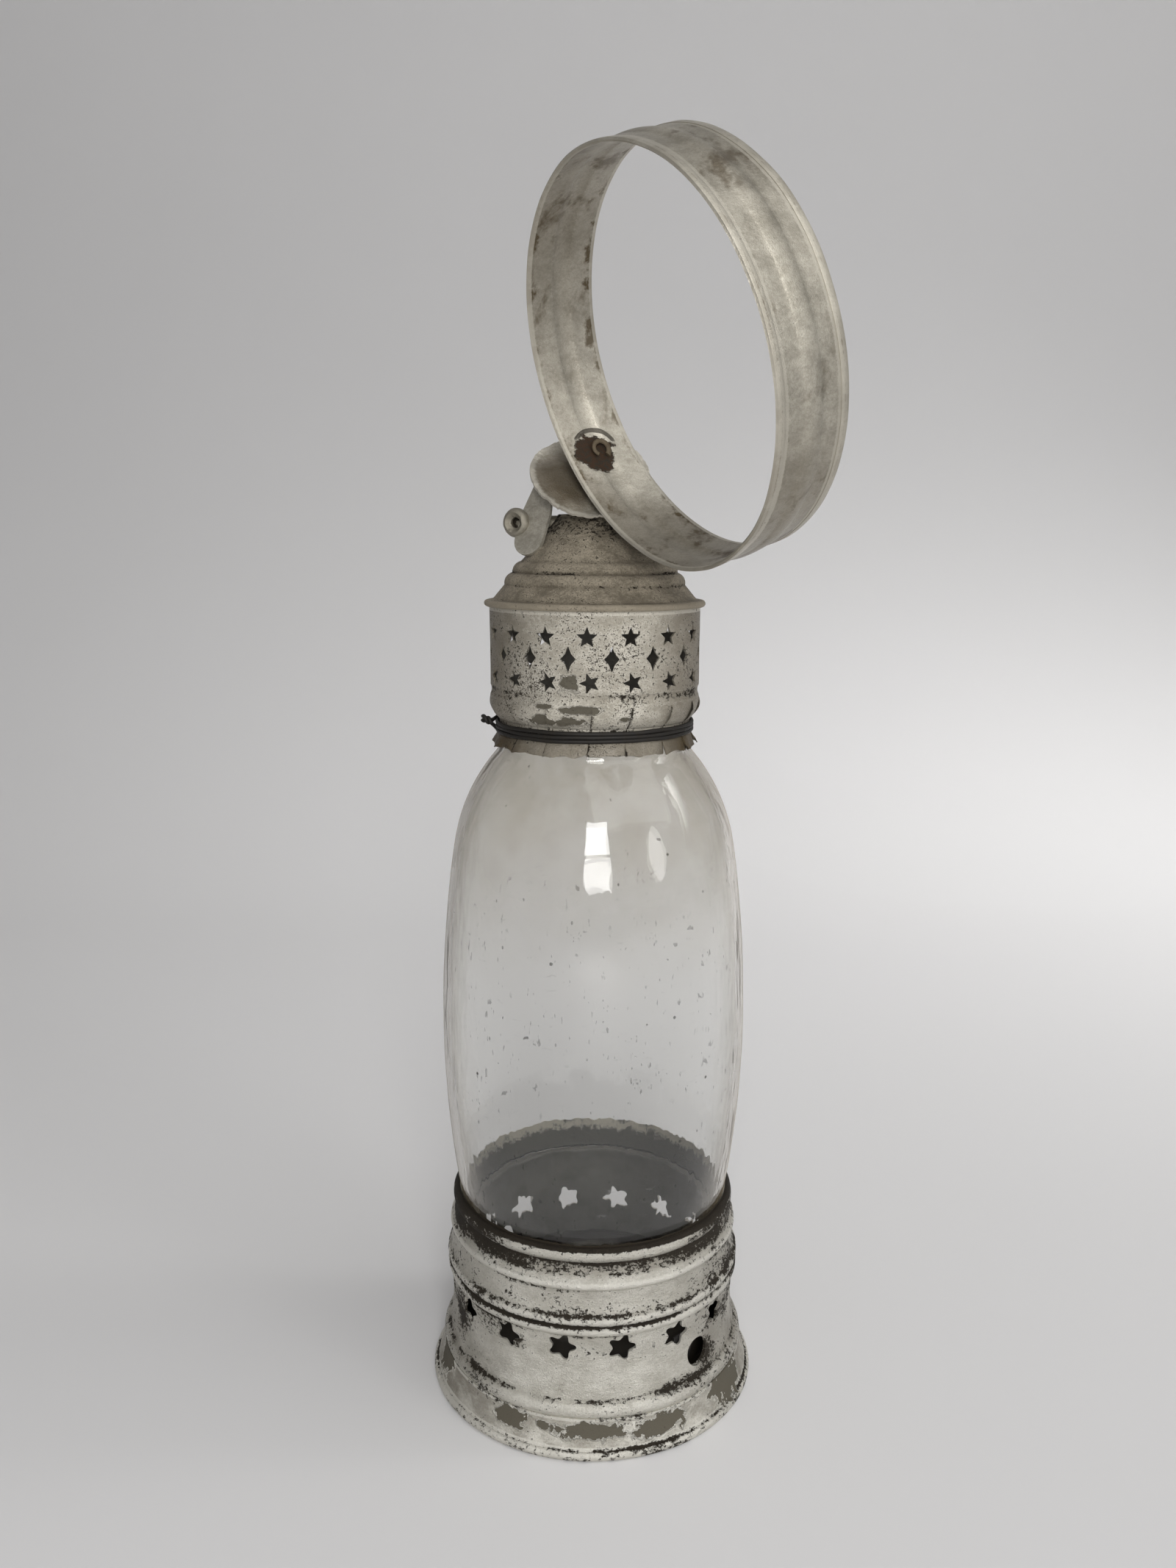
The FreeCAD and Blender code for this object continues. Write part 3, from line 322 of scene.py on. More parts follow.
@named
class LanternColours(bpy.types.PropertyGroup):
    """Colours of the finishes."""

    paint: colour_rgb("Clean silver paint", 0.70, 0.68, 0.615)
    paint_shade: colour_rgb("Rubbed and dulled silver paint", 0.45, 0.43, 0.375)
    band: colour_rgb("Yellowed silver paint of the vent band", 0.625, 0.59, 0.512)
    band_shade: colour_rgb("Dulled paint of the vent band", 0.35, 0.322, 0.265)
    # Grime also blackens the front of the plaster and the font's outer rim, partly as painted shade
    grime: colour_rgb("Brown-black dirt in the creases", 0.022, 0.017, 0.011)
    # The pit colour also draws the dark crease lines, partly as painted shade
    pit: colour_rgb("Dark pits in the paint", 0.06, 0.047, 0.032)
    chip: colour_rgb("Metal under chipped paint", 0.095, 0.085, 0.064)
    cap: colour_rgb("Smoke-browned paint of the cap", 0.345, 0.302, 0.23)
    cap_shade: colour_rgb("Smoked paint of the cap", 0.15, 0.128, 0.094)
    strap: colour_rgb("Handled paint of the ring", 0.5, 0.468, 0.398)
    strap_shade: colour_rgb("Greasy paint of the ring", 0.272, 0.252, 0.206)
    # The smudge colour also carries painted shade on the sides, the foot's hem and the strap's lower run
    smudge: colour_rgb("Brown smudges on the handled paint", 0.095, 0.072, 0.042)
    rust: colour_rgb("Rust round the rivet", 0.032, 0.016, 0.007)
    inside: colour_rgb("Bare smoked tin inside", 0.25, 0.239, 0.213)
    glass: colour_rgb("Tint of the glass", 0.955, 0.955, 0.944)
    # Smoke and soot also tint the glass's edge-on rims as painted shade
    smoke: colour_rgb("Tint of the smoked glass", 0.905, 0.89, 0.84)
    soot: colour_rgb("Brown film inside the glass", 0.30, 0.24, 0.15)
    scratch: colour_rgb("Fine scuffs on the glass", 0.75, 0.75, 0.72)
    plaster: colour_rgb("Old plaster at the glass", 0.74, 0.7, 0.6)
    iron: colour_rgb("Black annealed wire", 0.018, 0.016, 0.014)
    brass: colour_rgb("Tarnished brass", 0.32, 0.22, 0.08)
    cotton: colour_rgb("Woven cotton wick", 0.55, 0.48, 0.36)
    steel: colour_rgb("Darkened spring steel", 0.10, 0.095, 0.09)
    floor: colour_rgb("Plain pale sweep", 0.687, 0.68, 0.677)


# Node trees, written as sums of sockets
class Reading:
    """A node's output. Sums with it add Math nodes to its board."""

    def __init__(self, board, socket):
        self.board = board
        self.socket = socket

    def sibling(self, name):
        """Another output of the same node."""
        return Reading(self.board, self.socket.node.outputs[name])


def sum_method(operation, swapped):
    """Arithmetic on a reading, with the reading on the left, or on the right when swapped."""
    def method(self, other):
        return self.board.math(operation, *((other, self) if swapped else (self, other)))
    return method


SUMS = {"add": "ADD", "sub": "SUBTRACT", "mul": "MULTIPLY", "truediv": "DIVIDE", "pow": "POWER"}
for word, math_name in SUMS.items():
    setattr(Reading, "__" + word + "__", sum_method(math_name, False))
    setattr(Reading, "__r" + word + "__", sum_method(math_name, True))


class Board:
    """A node tree that nodes are added to."""

    def __init__(self, tree):
        self.tree = tree

    def node(self, kind, settings=(), sockets=(), output=0):
        """Add a node, set its settings, then fill its sockets with values or links."""
        made = self.tree.nodes.new(kind)
        for name, value in dict(settings).items():
            setattr(made, name, value)
        for key, value in dict(sockets).items():
            if isinstance(value, Reading):
                self.tree.links.new(value.socket, made.inputs[key])
            else:
                made.inputs[key].default_value = value
        return Reading(self, made.outputs[output]) if made.outputs else made

    def math(self, operation, *values):
        return self.node("ShaderNodeMath", {"operation": operation}, enumerate(values))

    def vector(self, operation, sockets, output=0):
        return self.node("ShaderNodeVectorMath", {"operation": operation}, sockets, output)

    def xyz(self, **axes):
        return self.node("ShaderNodeCombineXYZ", {}, axes)

    def noise(self, place, name, finer=1.0):
        scale, detail, roughness = NOISES[name]
        return self.node("ShaderNodeTexNoise", {"noise_dimensions": "3D"}, {
            "Vector": place, "Scale": scale * finer, "Detail": detail, "Roughness": roughness}, "Fac")

    def cells(self, place, scale):
        """Distance from the nearest of many scattered points."""
        return self.node("ShaderNodeTexVoronoi", {"feature": "F1"},
                         {"Vector": place, "Scale": scale, "Randomness": 1.0}, "Distance")

    def smooth(self, value, low, high, start=0.0, end=1.0):
        """Smooth step from start at low to end at high, which may lie below low."""
        return self.node("ShaderNodeMapRange", {"interpolation_type": "SMOOTHSTEP"},
                         {"Value": value, "From Min": low, "From Max": high, "To Min": start, "To Max": end})

    def between(self, value, start, full, fading, end):
        """1 from full to fading, and 0 before start and after end."""
        return self.smooth(value, start, full) * self.smooth(value, end, fading)

    def mix(self, first, second, factor):
        """Colour between two colours."""
        sockets = {0: factor, 6: opaque(first), 7: opaque(second)}
        return self.node("ShaderNodeMix", {"data_type": "RGBA"}, sockets, 2)

    def blend(self, first, second, factor):
        """Shader between two shaders."""
        return self.node("ShaderNodeMixShader", {}, {0: factor, 1: first, 2: second})

    def shader(self, sockets):
        return self.node("ShaderNodeBsdfPrincipled", {}, sockets)

    def bump(self, height, distance, strength=1.0):
        return self.node("ShaderNodeBump", {},
                         {"Height": height, "Distance": distance, "Strength": strength})

    def mark(self, name):
        """A number stored on the mesh."""
        return self.node("ShaderNodeAttribute", {"attribute_name": name}, {}, "Fac")

    def show(self, shader):
        self.node("ShaderNodeOutputMaterial", {}, {"Surface": shader})


def opaque(colour):
    return colour if isinstance(colour, Reading) else (*colour, 1.0)


class Place:
    """Where a point lies on the lantern, in millimetres and degrees."""

    def __init__(self, board):
        self.board = board
        coordinates = board.node("ShaderNodeTexCoord", {}, {}, "Object")
        self.spot = board.vector("SCALE", {0: coordinates, "Scale": 1 / MM})
        self.x = board.node("ShaderNodeSeparateXYZ", {}, {0: self.spot}, "X")
        self.y = self.x.sibling("Y")
        self.z = self.x.sibling("Z")

    def stretched(self, around, upward):
        """Coordinates that are drawn out round the axis or along it."""
        return self.board.vector("MULTIPLY", {0: self.spot, 1: (around, around, upward)})

    def near(self, point):
        """Distance from a point of the frame."""
        return self.board.vector("DISTANCE", {0: self.spot, 1: tuple(point / MM)}, "Value")

    def flanks(self, start, end):
        """0 in the middle, 1 on the left and right sides as seen from the front, where painted shade darkens
        a turned wall.
        """
        return self.board.smooth(self.board.math("ABSOLUTE", self.x), start, end)

    def patches(self, radius, spots):
        """Rounded patches on a turned wall: 1 in the middle of a patch, 0 at its edge."""
        azimuth = self.board.math("ARCTAN2", self.x, 0.0 - self.y) * math.degrees(1)
        best = None
        for turn, level, half_width, half_height in spots:
            across = (azimuth - turn) * (math.radians(1) * radius / MM / half_width)
            upward = (self.z - level) / half_height
            inside = 1.0 - (across * across + upward * upward) ** 0.5
            best = inside if best is None else self.board.math("MAXIMUM", best, inside)
        return best


def new_finish(name):
    """New material, its board and the places on it."""
    made = bpy.data.materials.new(name)
    made.use_nodes = True
    made.node_tree.nodes.clear()
    board = Board(made.node_tree)
    return made, board, Place(board)


def shared(name, make, *values):
    """A finish that several pieces share, made once."""
    return bpy.data.materials.get(name) or make(name, *values)


# Finishes
def worn_paint(name, light, shade, colours, pits=0.0, dirt=1.0, chips=None, stains_and_shade=None, haze_and_shade=None,
               rust=None, gloss=0.42, shine=0.6, grit=0.34, mottle=1.0):
    """Old silver paint: rubbed dull, flecked with grime, dirt and painted shade in creases, chipped to the
    metal.
    """
    made, board, place = new_finish(name)
    clouds = board.noise(place.spot, "paint clouds")
    worn = board.noise(place.stretched(0.55, 1.0), "paint wear")
    fleck = board.noise(place.stretched(0.75, 1.0), "paint flecks")
    grain = board.noise(place.spot, "paint grain")
    patchy = board.smooth(board.noise(place.stretched(0.6, 1.0), "paint patches"), 0.38, 0.64)
    crease = board.mark("crease")
    edge = board.mark("edge")
    # Darkening in the hollows of the outline: dirt and painted shade in the creases
    dirt_and_shade = crease * dirt * (0.15 + 0.5 * patchy)
    if stains_and_shade:
        dirt_and_shade = dirt_and_shade + stains_and_shade(board, place) * (0.5 + 0.5 * patchy)
    speck = fleck * 0.72 + worn * 0.28
    # Dark flecks of grime, denser where the creases and the sides add painted shade
    grime = board.smooth(speck + dirt_and_shade * 0.32 + pits * 0.5, 0.605, 0.675)
    deep = grain * 0.5 + fleck * 0.5 + (clouds - 0.5) * 0.25 + dirt_and_shade * 0.08 + pits
    pitted = board.smooth(deep, 0.62, 0.67)
    uneven = clouds * 0.25 + worn * 0.4 + fleck * 0.35 - 0.5
    tone = board.smooth(uneven * mottle - dirt_and_shade * 0.12, -0.14, 0.12)
    colour = board.mix(shade, light, tone)
    colour = board.mix(colour, shade, board.smooth(grain, 0.48, 0.66) * 0.5 * mottle)
    # Dark lines along the hollow creases: painted shade, with some dirt
    colour = board.mix(colour, colours.pit, board.smooth(crease, 0.55, 1.6) * dirt * 0.56)
    # Brown film and smudges, with painted shade on the sides, the foot's hem and the strap's lower run
    if haze_and_shade:
        colour = board.mix(colour, colours.smudge, haze_and_shade(board, place))
    # Lighter on sharp edges and on the disc's turned rim: rubbed wear and a painted highlight
    colour = board.mix(colour, light, board.smooth(edge + (fleck - 0.5) * 0.8, 0.3, 0.75) * 0.7)
    colour = board.mix(colour, colours.pit, pitted)
    colour = board.mix(colour, colours.grime, grime)
    height = worn * 0.35 + fleck * 0.45 + grain * 0.3 - pitted * 0.35 - grime * 0.2
    dull = board.math("MAXIMUM", grime, pitted)
    if chips:
        flake = place.patches(*chips) + (board.noise(place.spot, "paint flakes") - 0.5) * 2.8
        chipped = board.smooth(flake, 0.02, 0.06)
        # A light ring round each chip: the raised paint lip, lightened as a painted highlight
        lip = board.smooth(flake, -0.2, 0.0) - chipped
        bare = board.mix(colours.chip, colours.pit, board.smooth(grain, 0.5, 0.75) * 0.4)
        colour = board.mix(board.mix(colour, light, lip * 0.85), bare, chipped)
        height = height * (1.0 - chipped * 0.75) + lip * 0.6 - chipped * 1.3
        dull = board.math("MAXIMUM", dull, chipped * 0.9)
    if rust:
        rusted, lap = rust(board, place, worn)
        rusty = board.mix(colours.rust, colours.grime, board.smooth(fleck, 0.44, 0.6))
        colour = board.mix(board.mix(colour, colours.grime, lap * 0.8), rusty, rusted)
        height = height - rusted * 1.6 - lap
        dull = board.math("MAXIMUM", dull, rusted)
    board.show(board.shader({
        "Base Color": colour,
        "Metallic": shine * (1.0 - dull),
        "Roughness": gloss + dull * 0.4 + (worn - 0.5) * 0.3,
        "Specular IOR Level": 0.22,
        "Normal": board.bump(height, grit * MM),
    }))
    return made


def foot_stains(board, place):
    """Flecks along the hem and where the foot meets the base."""
    top = FOOT_HIGH.z / MM
    return board.smooth(place.z, 3.6, 1.4) * 0.4 + board.smooth(place.z, top - 3.0, top) * 0.35 + 0.08


def foot_film_and_shade(board, place):
    """Grey-brown film on the foot with clean patches, and painted shade: darker towards the hem, where the
    contact shadow falls, and on the left and right sides.
    """
    film = board.smooth(board.noise(place.stretched(0.7, 1.0), "foot film"), 0.36, 0.6)
    return film * 0.42 + board.smooth(place.z, 3.4, 0.8) * 0.4 + place.flanks(30.0, 56.0) * 0.2


def base_stains_and_shade(board, place):
    """Dirt at the catch hole and under it, flecks at the beads, heavy dirt round the collar, and painted
    shade on the left and right sides.
    """
    top = BASE_HIGH.z / MM
    hole = board.smooth(place.patches(BASE_HIGH.x, BASE_DIRT), 0.0, 0.9)
    # Painted shade on the left and right sides, which also darkens the collar's sides
    sides = place.flanks(22.0, 48.0)
    valley = board.between(place.z, top - 10.4, top - 8.4, top - 5.6, top - 3.6)
    collar = board.smooth(place.z, top - 6.0, top - 4.0)
    lip = board.smooth(place.z, top - 1.3, top - 0.5)
    stars = board.between(place.z, 28.0, 35.5, 38.5, 41.5)
    belt = board.between(place.z, 41.5, 43.0, 50.0, 61.0)
    low = board.smooth(place.z, 21.0, 14.6)
    rows = (stars + belt + low) * 0.2
    return hole * 0.56 + valley * 0.66 + collar * (0.3 + 0.42 * sides) + lip * 1.3 + rows + sides * 0.3


def base_film_and_shade(board, place):
    """Brown film over the collar, and painted shade on the two sides, strongest lower down."""
    top = BASE_HIGH.z / MM
    film = board.smooth(board.noise(place.spot, "base film"), 0.25, 0.65)
    lower = board.smooth(place.z, 46.0, 34.0, 0.2, 0.5)
    return board.smooth(place.z, top - 11.0, top - 7.0) * 0.32 + place.flanks(24.0, 50.0) * film * lower


def band_stains(board, place):
    """Flecks in the seam, between the rows of holes and under the wire."""
    seam = board.between(place.z, 244.6, 246.2, 246.8, 248.0)
    middle = board.between(place.z, 244.0, 252.0, 264.0, 274.0)
    wired = board.between(place.z, 230.8, 232.4, 235.0, 236.6)
    return seam * 0.1 + middle * 0.12 + wired * 0.3


def band_grey_and_shade(board, place):
    """Grey tab ends under the wire, and painted shade on the two sides."""
    return board.smooth(place.z, 233.4, 231.4) * 0.5 + place.flanks(15.0, 34.0) * 0.66


def cap_stains(board, place):
    """Dark spots where the smoke disc drips on the cone."""
    top = CAP_HIGH.z / MM
    return board.smooth(place.z, top - 12.0, top - 3.0) * 0.42


def inside_tin(name, colours, soot=0.0):
    """Bare tin, smoked and dull, blackened away from the axis by soot and by painted shade behind the holes.
    """
    made, board, place = new_finish(name)
    smoke = board.noise(place.spot, "tin smoke")
    colour = board.mix(colours.inside, colours.grime, board.smooth(smoke, 0.35, 0.8) * 0.35)
    if soot:
        reach = (place.x * place.x + place.y * place.y) ** 0.5
        soot_and_shade = board.smooth(reach + (smoke - 0.5) * 6.0, 28.0, 34.0)
        colour = board.mix(colour, colours.grime, soot_and_shade * soot)
    board.show(board.shader({
        "Base Color": colour,
        "Metallic": 0.35,
        "Roughness": 0.42 + smoke * 0.3,
        "Normal": board.bump(board.noise(place.spot, "tin grain"), 0.06 * MM),
    }))
    return made


def smoked_tin(colours):
    return shared("inside_tin", inside_tin, colours)


def dull_metal(name, colour, grime, metallic, rough, finer=0.6):
    """Plain metal with clouds of tarnish."""
    made, board, place = new_finish(name)
    tarnish = board.noise(place.spot, "tarnish", finer)
    grain = board.noise(place.spot, "metal grain", finer)
    board.show(board.shader({
        "Base Color": board.mix(colour, grime, board.smooth(tarnish * 0.7 + grain * 0.3, 0.42, 0.72) * 0.75),
        "Metallic": metallic,
        "Roughness": rough + tarnish * 0.25,
        "Normal": board.bump(grain, 0.05 * MM),
    }))
    return made


def black_iron(colours):
    return shared("black_iron", dull_metal, colours.iron, colours.grime, 0.5, 0.5, 1.2)


def rough_plaster(colours):
    """Old plaster: dark with dirt, painted shade at the front and painted light at the back, pale only along
    its ragged top edge at the back.
    """
    made, board, place = new_finish("rough_plaster")
    lumps = board.noise(place.spot, "plaster lumps")
    # Paler at the back and darker at the front: painted light on the back, painted shade on the front
    back = board.smooth(place.y, -20.0, 16.0)
    top = BASE_HIGH.z / MM
    ragged = board.smooth(place.z + (lumps - 0.5) * 9.0, top - 3.4, top - 1.4)
    pale = back * ragged * board.smooth(board.noise(place.spot, "plaster dirt"), 0.34, 0.5)
    old = board.mix(colours.grime, colours.inside, back * 0.7)
    board.show(board.shader({
        "Base Color": board.mix(old, colours.plaster, pale),
        "Roughness": 0.9,
        "Specular IOR Level": 0.2,
        "Normal": board.bump(lumps, 0.5 * MM),
    }))
    return made


def woven_cotton(colours):
    """Wick with a diagonal weave, burnt at its top."""
    made, board, place = new_finish("woven_cotton")
    weave = board.node("ShaderNodeTexWave", {"wave_type": "BANDS", "bands_direction": "DIAGONAL"},
                       {"Vector": place.spot, "Scale": 0.5, "Distortion": 1.5}, "Fac")
    board.show(board.shader({
        "Base Color": board.mix(colours.cotton, colours.grime, board.smooth(place.z, 39.0, 40.8) * 0.95),
        "Roughness": 0.95,
        "Normal": board.bump(weave, 0.2 * MM),
    }))
    return made


def blown_glass(colours):
    """Smoky glass: brown soot film at the shoulder, painted shade on its edge-on rims, scratches, dashes and
    specks.
    """
    made, board, place = new_finish("blown_glass")
    clouds = board.noise(place.spot, "glass clouds")
    edge_on = board.node("ShaderNodeLayerWeight", {}, {"Blend": 0.4}, "Facing")
    soot = board.smooth(place.z, 140.0, 236.0) * (0.6 + 0.4 * board.smooth(clouds, 0.35, 0.65))
    # Painted shade on the edge-on rims: a smoky tint and a brown film that thicken towards the silhouette
    rim = board.smooth(edge_on, 0.35, 1.0)
    silhouette_shade = board.smooth(edge_on, 0.78, 0.98)
    glass = board.shader({
        "Base Color": board.mix(colours.glass, colours.smoke, board.math("MAXIMUM", soot, rim)),
        "Roughness": 0.02,
        "IOR": 1.47,
        "Transmission Weight": 1.0,
        "Normal": board.bump(board.noise(place.stretched(1.0, 0.35), "glass waves"), 0.7 * MM, 0.5),
    })
    dash = board.smooth(board.noise(place.stretched(1.0, 0.34), "glass dashes"), 0.69, 0.73)
    dash = dash * board.smooth(clouds, 0.44, 0.56) * board.smooth(place.z, 205.0, 150.0)
    scuff = board.smooth(board.noise(place.stretched(0.3, 1.2), "glass scuffs"), 0.66, 0.76)
    scuff = scuff * board.smooth(clouds, 0.4, 0.6)
    specks = board.smooth(board.cells(place.spot, 0.05), 0.034, 0.022)
    dust = board.smooth(board.cells(place.stretched(1.0, 0.55), 0.15), 0.062, 0.042)
    dust = dust * board.smooth(clouds, 0.46, 0.56)
    film = board.shader({"Base Color": opaque(colours.soot), "Roughness": 0.7})
    pale = board.shader({"Base Color": opaque(colours.scratch), "Roughness": 0.6})
    dark = board.shader({"Base Color": opaque(colours.grime), "Roughness": 0.8})
    filmed_and_shaded = board.blend(glass, film, soot * 0.14 + rim * 0.36 + silhouette_shade * 0.3)
    scratched = board.blend(filmed_and_shaded, pale, scuff * 0.16)
    board.show(board.blend(scratched, dark, specks * 0.75 + dust * 0.5 + dash * 0.45))
    return made


def pale_sweep(colours):
    """Plain floor with a faint mottle."""
    made, board, place = new_finish("pale_sweep")
    shade = tuple(value * 0.97 for value in colours.floor)
    board.show(board.shader({
        "Base Color": board.mix(shade, colours.floor, board.noise(place.spot, "sweep mottle")),
        "Roughness": 0.75,
    }))
    return made


# Outlines and turned meshes
def arc_points(start, end, radius, step):
    """Points after start along an arc to end that bulges right of the travel for a positive radius."""
    chord = end - start
    sign = math.copysign(1, radius)
    side = Vector((chord.y, -chord.x)).normalized() * sign
    reach = math.sqrt(max(radius * radius - chord.length_squared / 4, 0))
    centre = (start + end) / 2 - side * reach
    sweep = 2 * math.asin(min(chord.length / (2 * abs(radius)), 1)) * sign
    count = max(2, math.ceil(abs(radius * sweep) / step))
    arm = start - centre
    return [centre + Matrix.Rotation(sweep * part / count, 2) @ arm for part in range(1, count + 1)]


class Outline:
    """Closed outline in radius and height, sampled, with how hollow or sharp it is at each sample."""

    blur = 0.9 * MM

    def __init__(self, points, fine, coarse):
        """Points are (radius, height), or (radius, height, curve) at the end of an arc."""
        places = [Vector(item[:2]) for item in points]
        samples = []
        for place, item in enumerate(points):
            start, end = places[place - 1], places[place]
            if len(item) == 3:
                samples += arc_points(start, end, item[2], fine)
            else:
                count = max(1, math.ceil((end - start).length / coarse))
                samples += [start.lerp(end, part / count) for part in range(1, count + 1)]
        self.samples = np.array([tuple(sample) for sample in samples])
        ahead = np.roll(self.samples, -1, 0) - self.samples
        behind = self.samples - np.roll(self.samples, 1, 0)
        turn = np.arctan2(behind[:, 0] * ahead[:, 1] - behind[:, 1] * ahead[:, 0], (behind * ahead).sum(1))
        along = np.cumsum(np.hypot(*behind.T))
        apart = np.abs(along[:, None] - along[None, :])
        apart = np.minimum(apart, along[-1] - apart)
        weight = np.exp(-(apart / self.blur) ** 2)
        # Hollows later take painted shade and dirt, sharp turns painted highlights and rubbed wear
        self.crease = weight @ np.maximum(-turn, 0)
        self.edge = weight @ np.maximum(turn, 0)

    def mark_hollows_and_edges(self, made):
        """Store on a mesh how hollow or sharp the outline is at each point."""
        places = np.empty(len(made.data.vertices) * 3)
        made.data.vertices.foreach_get("co", places)
        places = places.reshape(-1, 3)
        away = np.hypot(places[:, 0], places[:, 1])[:, None] - self.samples[:, 0]
        above = places[:, 2][:, None] - self.samples[:, 1]
        nearest = (away ** 2 + above ** 2).argmin(1)
        for name, values in (("crease", self.crease), ("edge", self.edge)):
            layer = made.data.attributes.get(name) or made.data.attributes.new(name, "FLOAT", "POINT")
            layer.data.foreach_set("value", values[nearest].astype(np.float32))


def outline_of(size, points):
    return Outline(points, size.fine_step, size.long_step)


def level_direction(azimuth):
    """Level direction at an azimuth, which counts from the front to the right."""
    return Vector((math.sin(azimuth), -math.cos(azimuth), 0))


def round_point(reach, azimuth, height):
    return reach * math.sin(azimuth), -reach * math.cos(azimuth), height


def new_object(name, vertices, faces, edges=()):
    mesh = bpy.data.meshes.new(name)
    mesh.from_pydata([tuple(vertex) for vertex in vertices], edges, faces)
    made = bpy.data.objects.new(name, mesh)
    bpy.context.scene.collection.objects.link(made)
    return made


def lofted(name, sections, closed):
    """Mesh through like sections, closed into a hoop or capped at its two ends."""
    size = len(sections[0])
    count = len(sections)
    vertices = [point for section in sections for point in section]
    faces = []
    for place in range(count if closed else count - 1):
        first, second = place * size, (place + 1) % count * size
        for step in range(size):
            following = (step + 1) % size
            faces.append((first + step, second + step, second + following, first + following))
    if not closed:
        faces.append(tuple(range(size)))
        faces.append(tuple(reversed(range((count - 1) * size, count * size))))
    return new_object(name, vertices, faces)


def dent(azimuth, height, depth):
    """Offset of a wall at an azimuth and height, from wide knocks and smaller ones."""
    height_of_a_knock = 40 * MM
    spot = level_direction(azimuth) + UP * (height / height_of_a_knock)
    return depth * (noise.noise(spot * 2.1) + 0.45 * noise.noise(spot * 6.3 + Vector((7, 3, 1))))


def turned(name, outline, steps, depth=0.0):
    """Outline turned about Z, with dents that keep the wall's thickness."""
    sections = []
    for step in range(steps):
        azimuth = FULL_TURN * step / steps
        section = []
        for radius, height in outline.samples:
            reach = radius + (dent(azimuth, height, depth) if depth and radius > depth else 0)
            section.append(round_point(reach, azimuth, height))
        sections.append(section)
    made = lofted(name, sections, closed=True)
    outline.mark_hollows_and_edges(made)
    return made


def cleaned(made, sharp_angle=35):
    """Merge doubles, close poles and shade smooth up to an angle."""
    same_place, no_length = 0.005 * MM, 0.002 * MM
    mesh = bmesh.new()
    mesh.from_mesh(made.data)
    bmesh.ops.remove_doubles(mesh, verts=mesh.verts, dist=same_place)
    bmesh.ops.dissolve_degenerate(mesh, edges=mesh.edges, dist=no_length)
    mesh.to_mesh(made.data)
    mesh.free()
    made.data.shade_smooth()
    made.data.set_sharp_from_angle(angle=math.radians(sharp_angle))
    return made


def merged(name, parts):
    """One object from several."""
    mesh = bmesh.new()
    for part in parts:
        mesh.from_mesh(part.data)
        bpy.data.objects.remove(part)
    made = new_object(name, (), ())
    mesh.to_mesh(made.data)
    mesh.free()
    return made


def coat(made, outer, inner=None):
    """Outer finish on faces that look away from the axis, inner finish on the others."""
    made.data.materials.clear()
    made.data.materials.append(outer)
    if inner is None:
        return
    made.data.materials.append(inner)
    inward = -0.25
    for face in made.data.polygons:
        outward = Vector((face.center.x, face.center.y, 0))
        looks_out = face.normal.dot(outward.normalized()) if outward.length else 1
        face.material_index = 1 if looks_out < inward else 0


def settle(made, body, nodes, outer, inner=None):
    """Coat a finished piece, and let it ride on a body and stand for its solids."""
    coat(made, outer, inner)
    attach(made, body)
    if nodes:
        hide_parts(*nodes)


# Geometry node trees
STAR_TIPS = 5
DIAMOND_TIPS = 4
HOLE_STEPS = 40
CORNER_STEPS = 4
WIRE_SIDES = 14
TAB_SEED = 4
ROW_INPUTS = ("Count", "First", "Level", "Reach", "Waist", "Roll")


def growing_tree(name, inputs):
    """Geometry tree with named inputs and its input readings."""
    tree = bpy.data.node_groups.new(name, "GeometryNodeTree")
    tree.interface.new_socket("Geometry", in_out="INPUT", socket_type="NodeSocketGeometry")
    for label, kind in inputs:
        tree.interface.new_socket(label, in_out="INPUT", socket_type="NodeSocket" + kind)
    tree.interface.new_socket("Finish", in_out="INPUT", socket_type="NodeSocketMaterial")
    tree.interface.new_socket("Geometry", in_out="OUTPUT", socket_type="NodeSocketGeometry")
    return tree, Board(tree).node("NodeGroupInput")


def hand_out(entry, geometry):
    """Realize a tree's geometry, set its material and hand it out."""
    board = entry.board
    real = board.node("GeometryNodeRealizeInstances", {}, {"Geometry": geometry})
    finish = entry.sibling("Finish")
    coated = board.node("GeometryNodeSetMaterial", {}, {"Geometry": real, "Material": finish})
    board.node("NodeGroupOutput", {}, {0: coated})


def grown(made, tree, values):
    """Run a geometry tree on an object and keep its result as a plain mesh."""
    modifier = made.modifiers.new(tree.name, "NODES")
    modifier.node_group = tree
    for item in tree.interface.items_tree:
        if item.in_out == "INPUT" and item.name in values:
            modifier[item.identifier] = values[item.name]
    depsgraph = bpy.context.evaluated_depsgraph_get()
    mesh = bpy.data.meshes.new_from_object(made.evaluated_get(depsgraph), depsgraph=depsgraph)
    made.modifiers.remove(modifier)
    made.data = mesh


def even_turn(board, count, first):
    """Turn of each copy in an even ring."""
    return first + board.node("GeometryNodeInputIndex") * board.math("DIVIDE", FULL_TURN, count)


def copies_round(board, shape, count, turn):
    """Real copies of a shape, turned about Z."""
    points = board.node("GeometryNodePoints", {}, {"Count": count})
    spin = board.node("FunctionNodeEulerToRotation", {}, {0: board.xyz(Z=turn)})
    copies = board.node("GeometryNodeInstanceOnPoints", {},
                        {"Points": points, "Instance": shape, "Rotation": spin})
    return board.node("GeometryNodeRealizeInstances", {}, {"Geometry": copies})


def circle_curve(board, steps, radius):
    return board.node("GeometryNodeCurvePrimitiveCircle", {"mode": "RADIUS"},
                      {"Resolution": steps, "Radius": radius})


def star_curve(board, points, inner, outer):
    return board.node("GeometryNodeCurveStar", {},
                      {"Points": points, "Inner Radius": inner, "Outer Radius": outer}, "Curve")


def swept(board, path, profile):
    return board.node("GeometryNodeCurveToMesh", {},
                      {"Curve": path, "Profile Curve": profile, "Fill Caps": True})


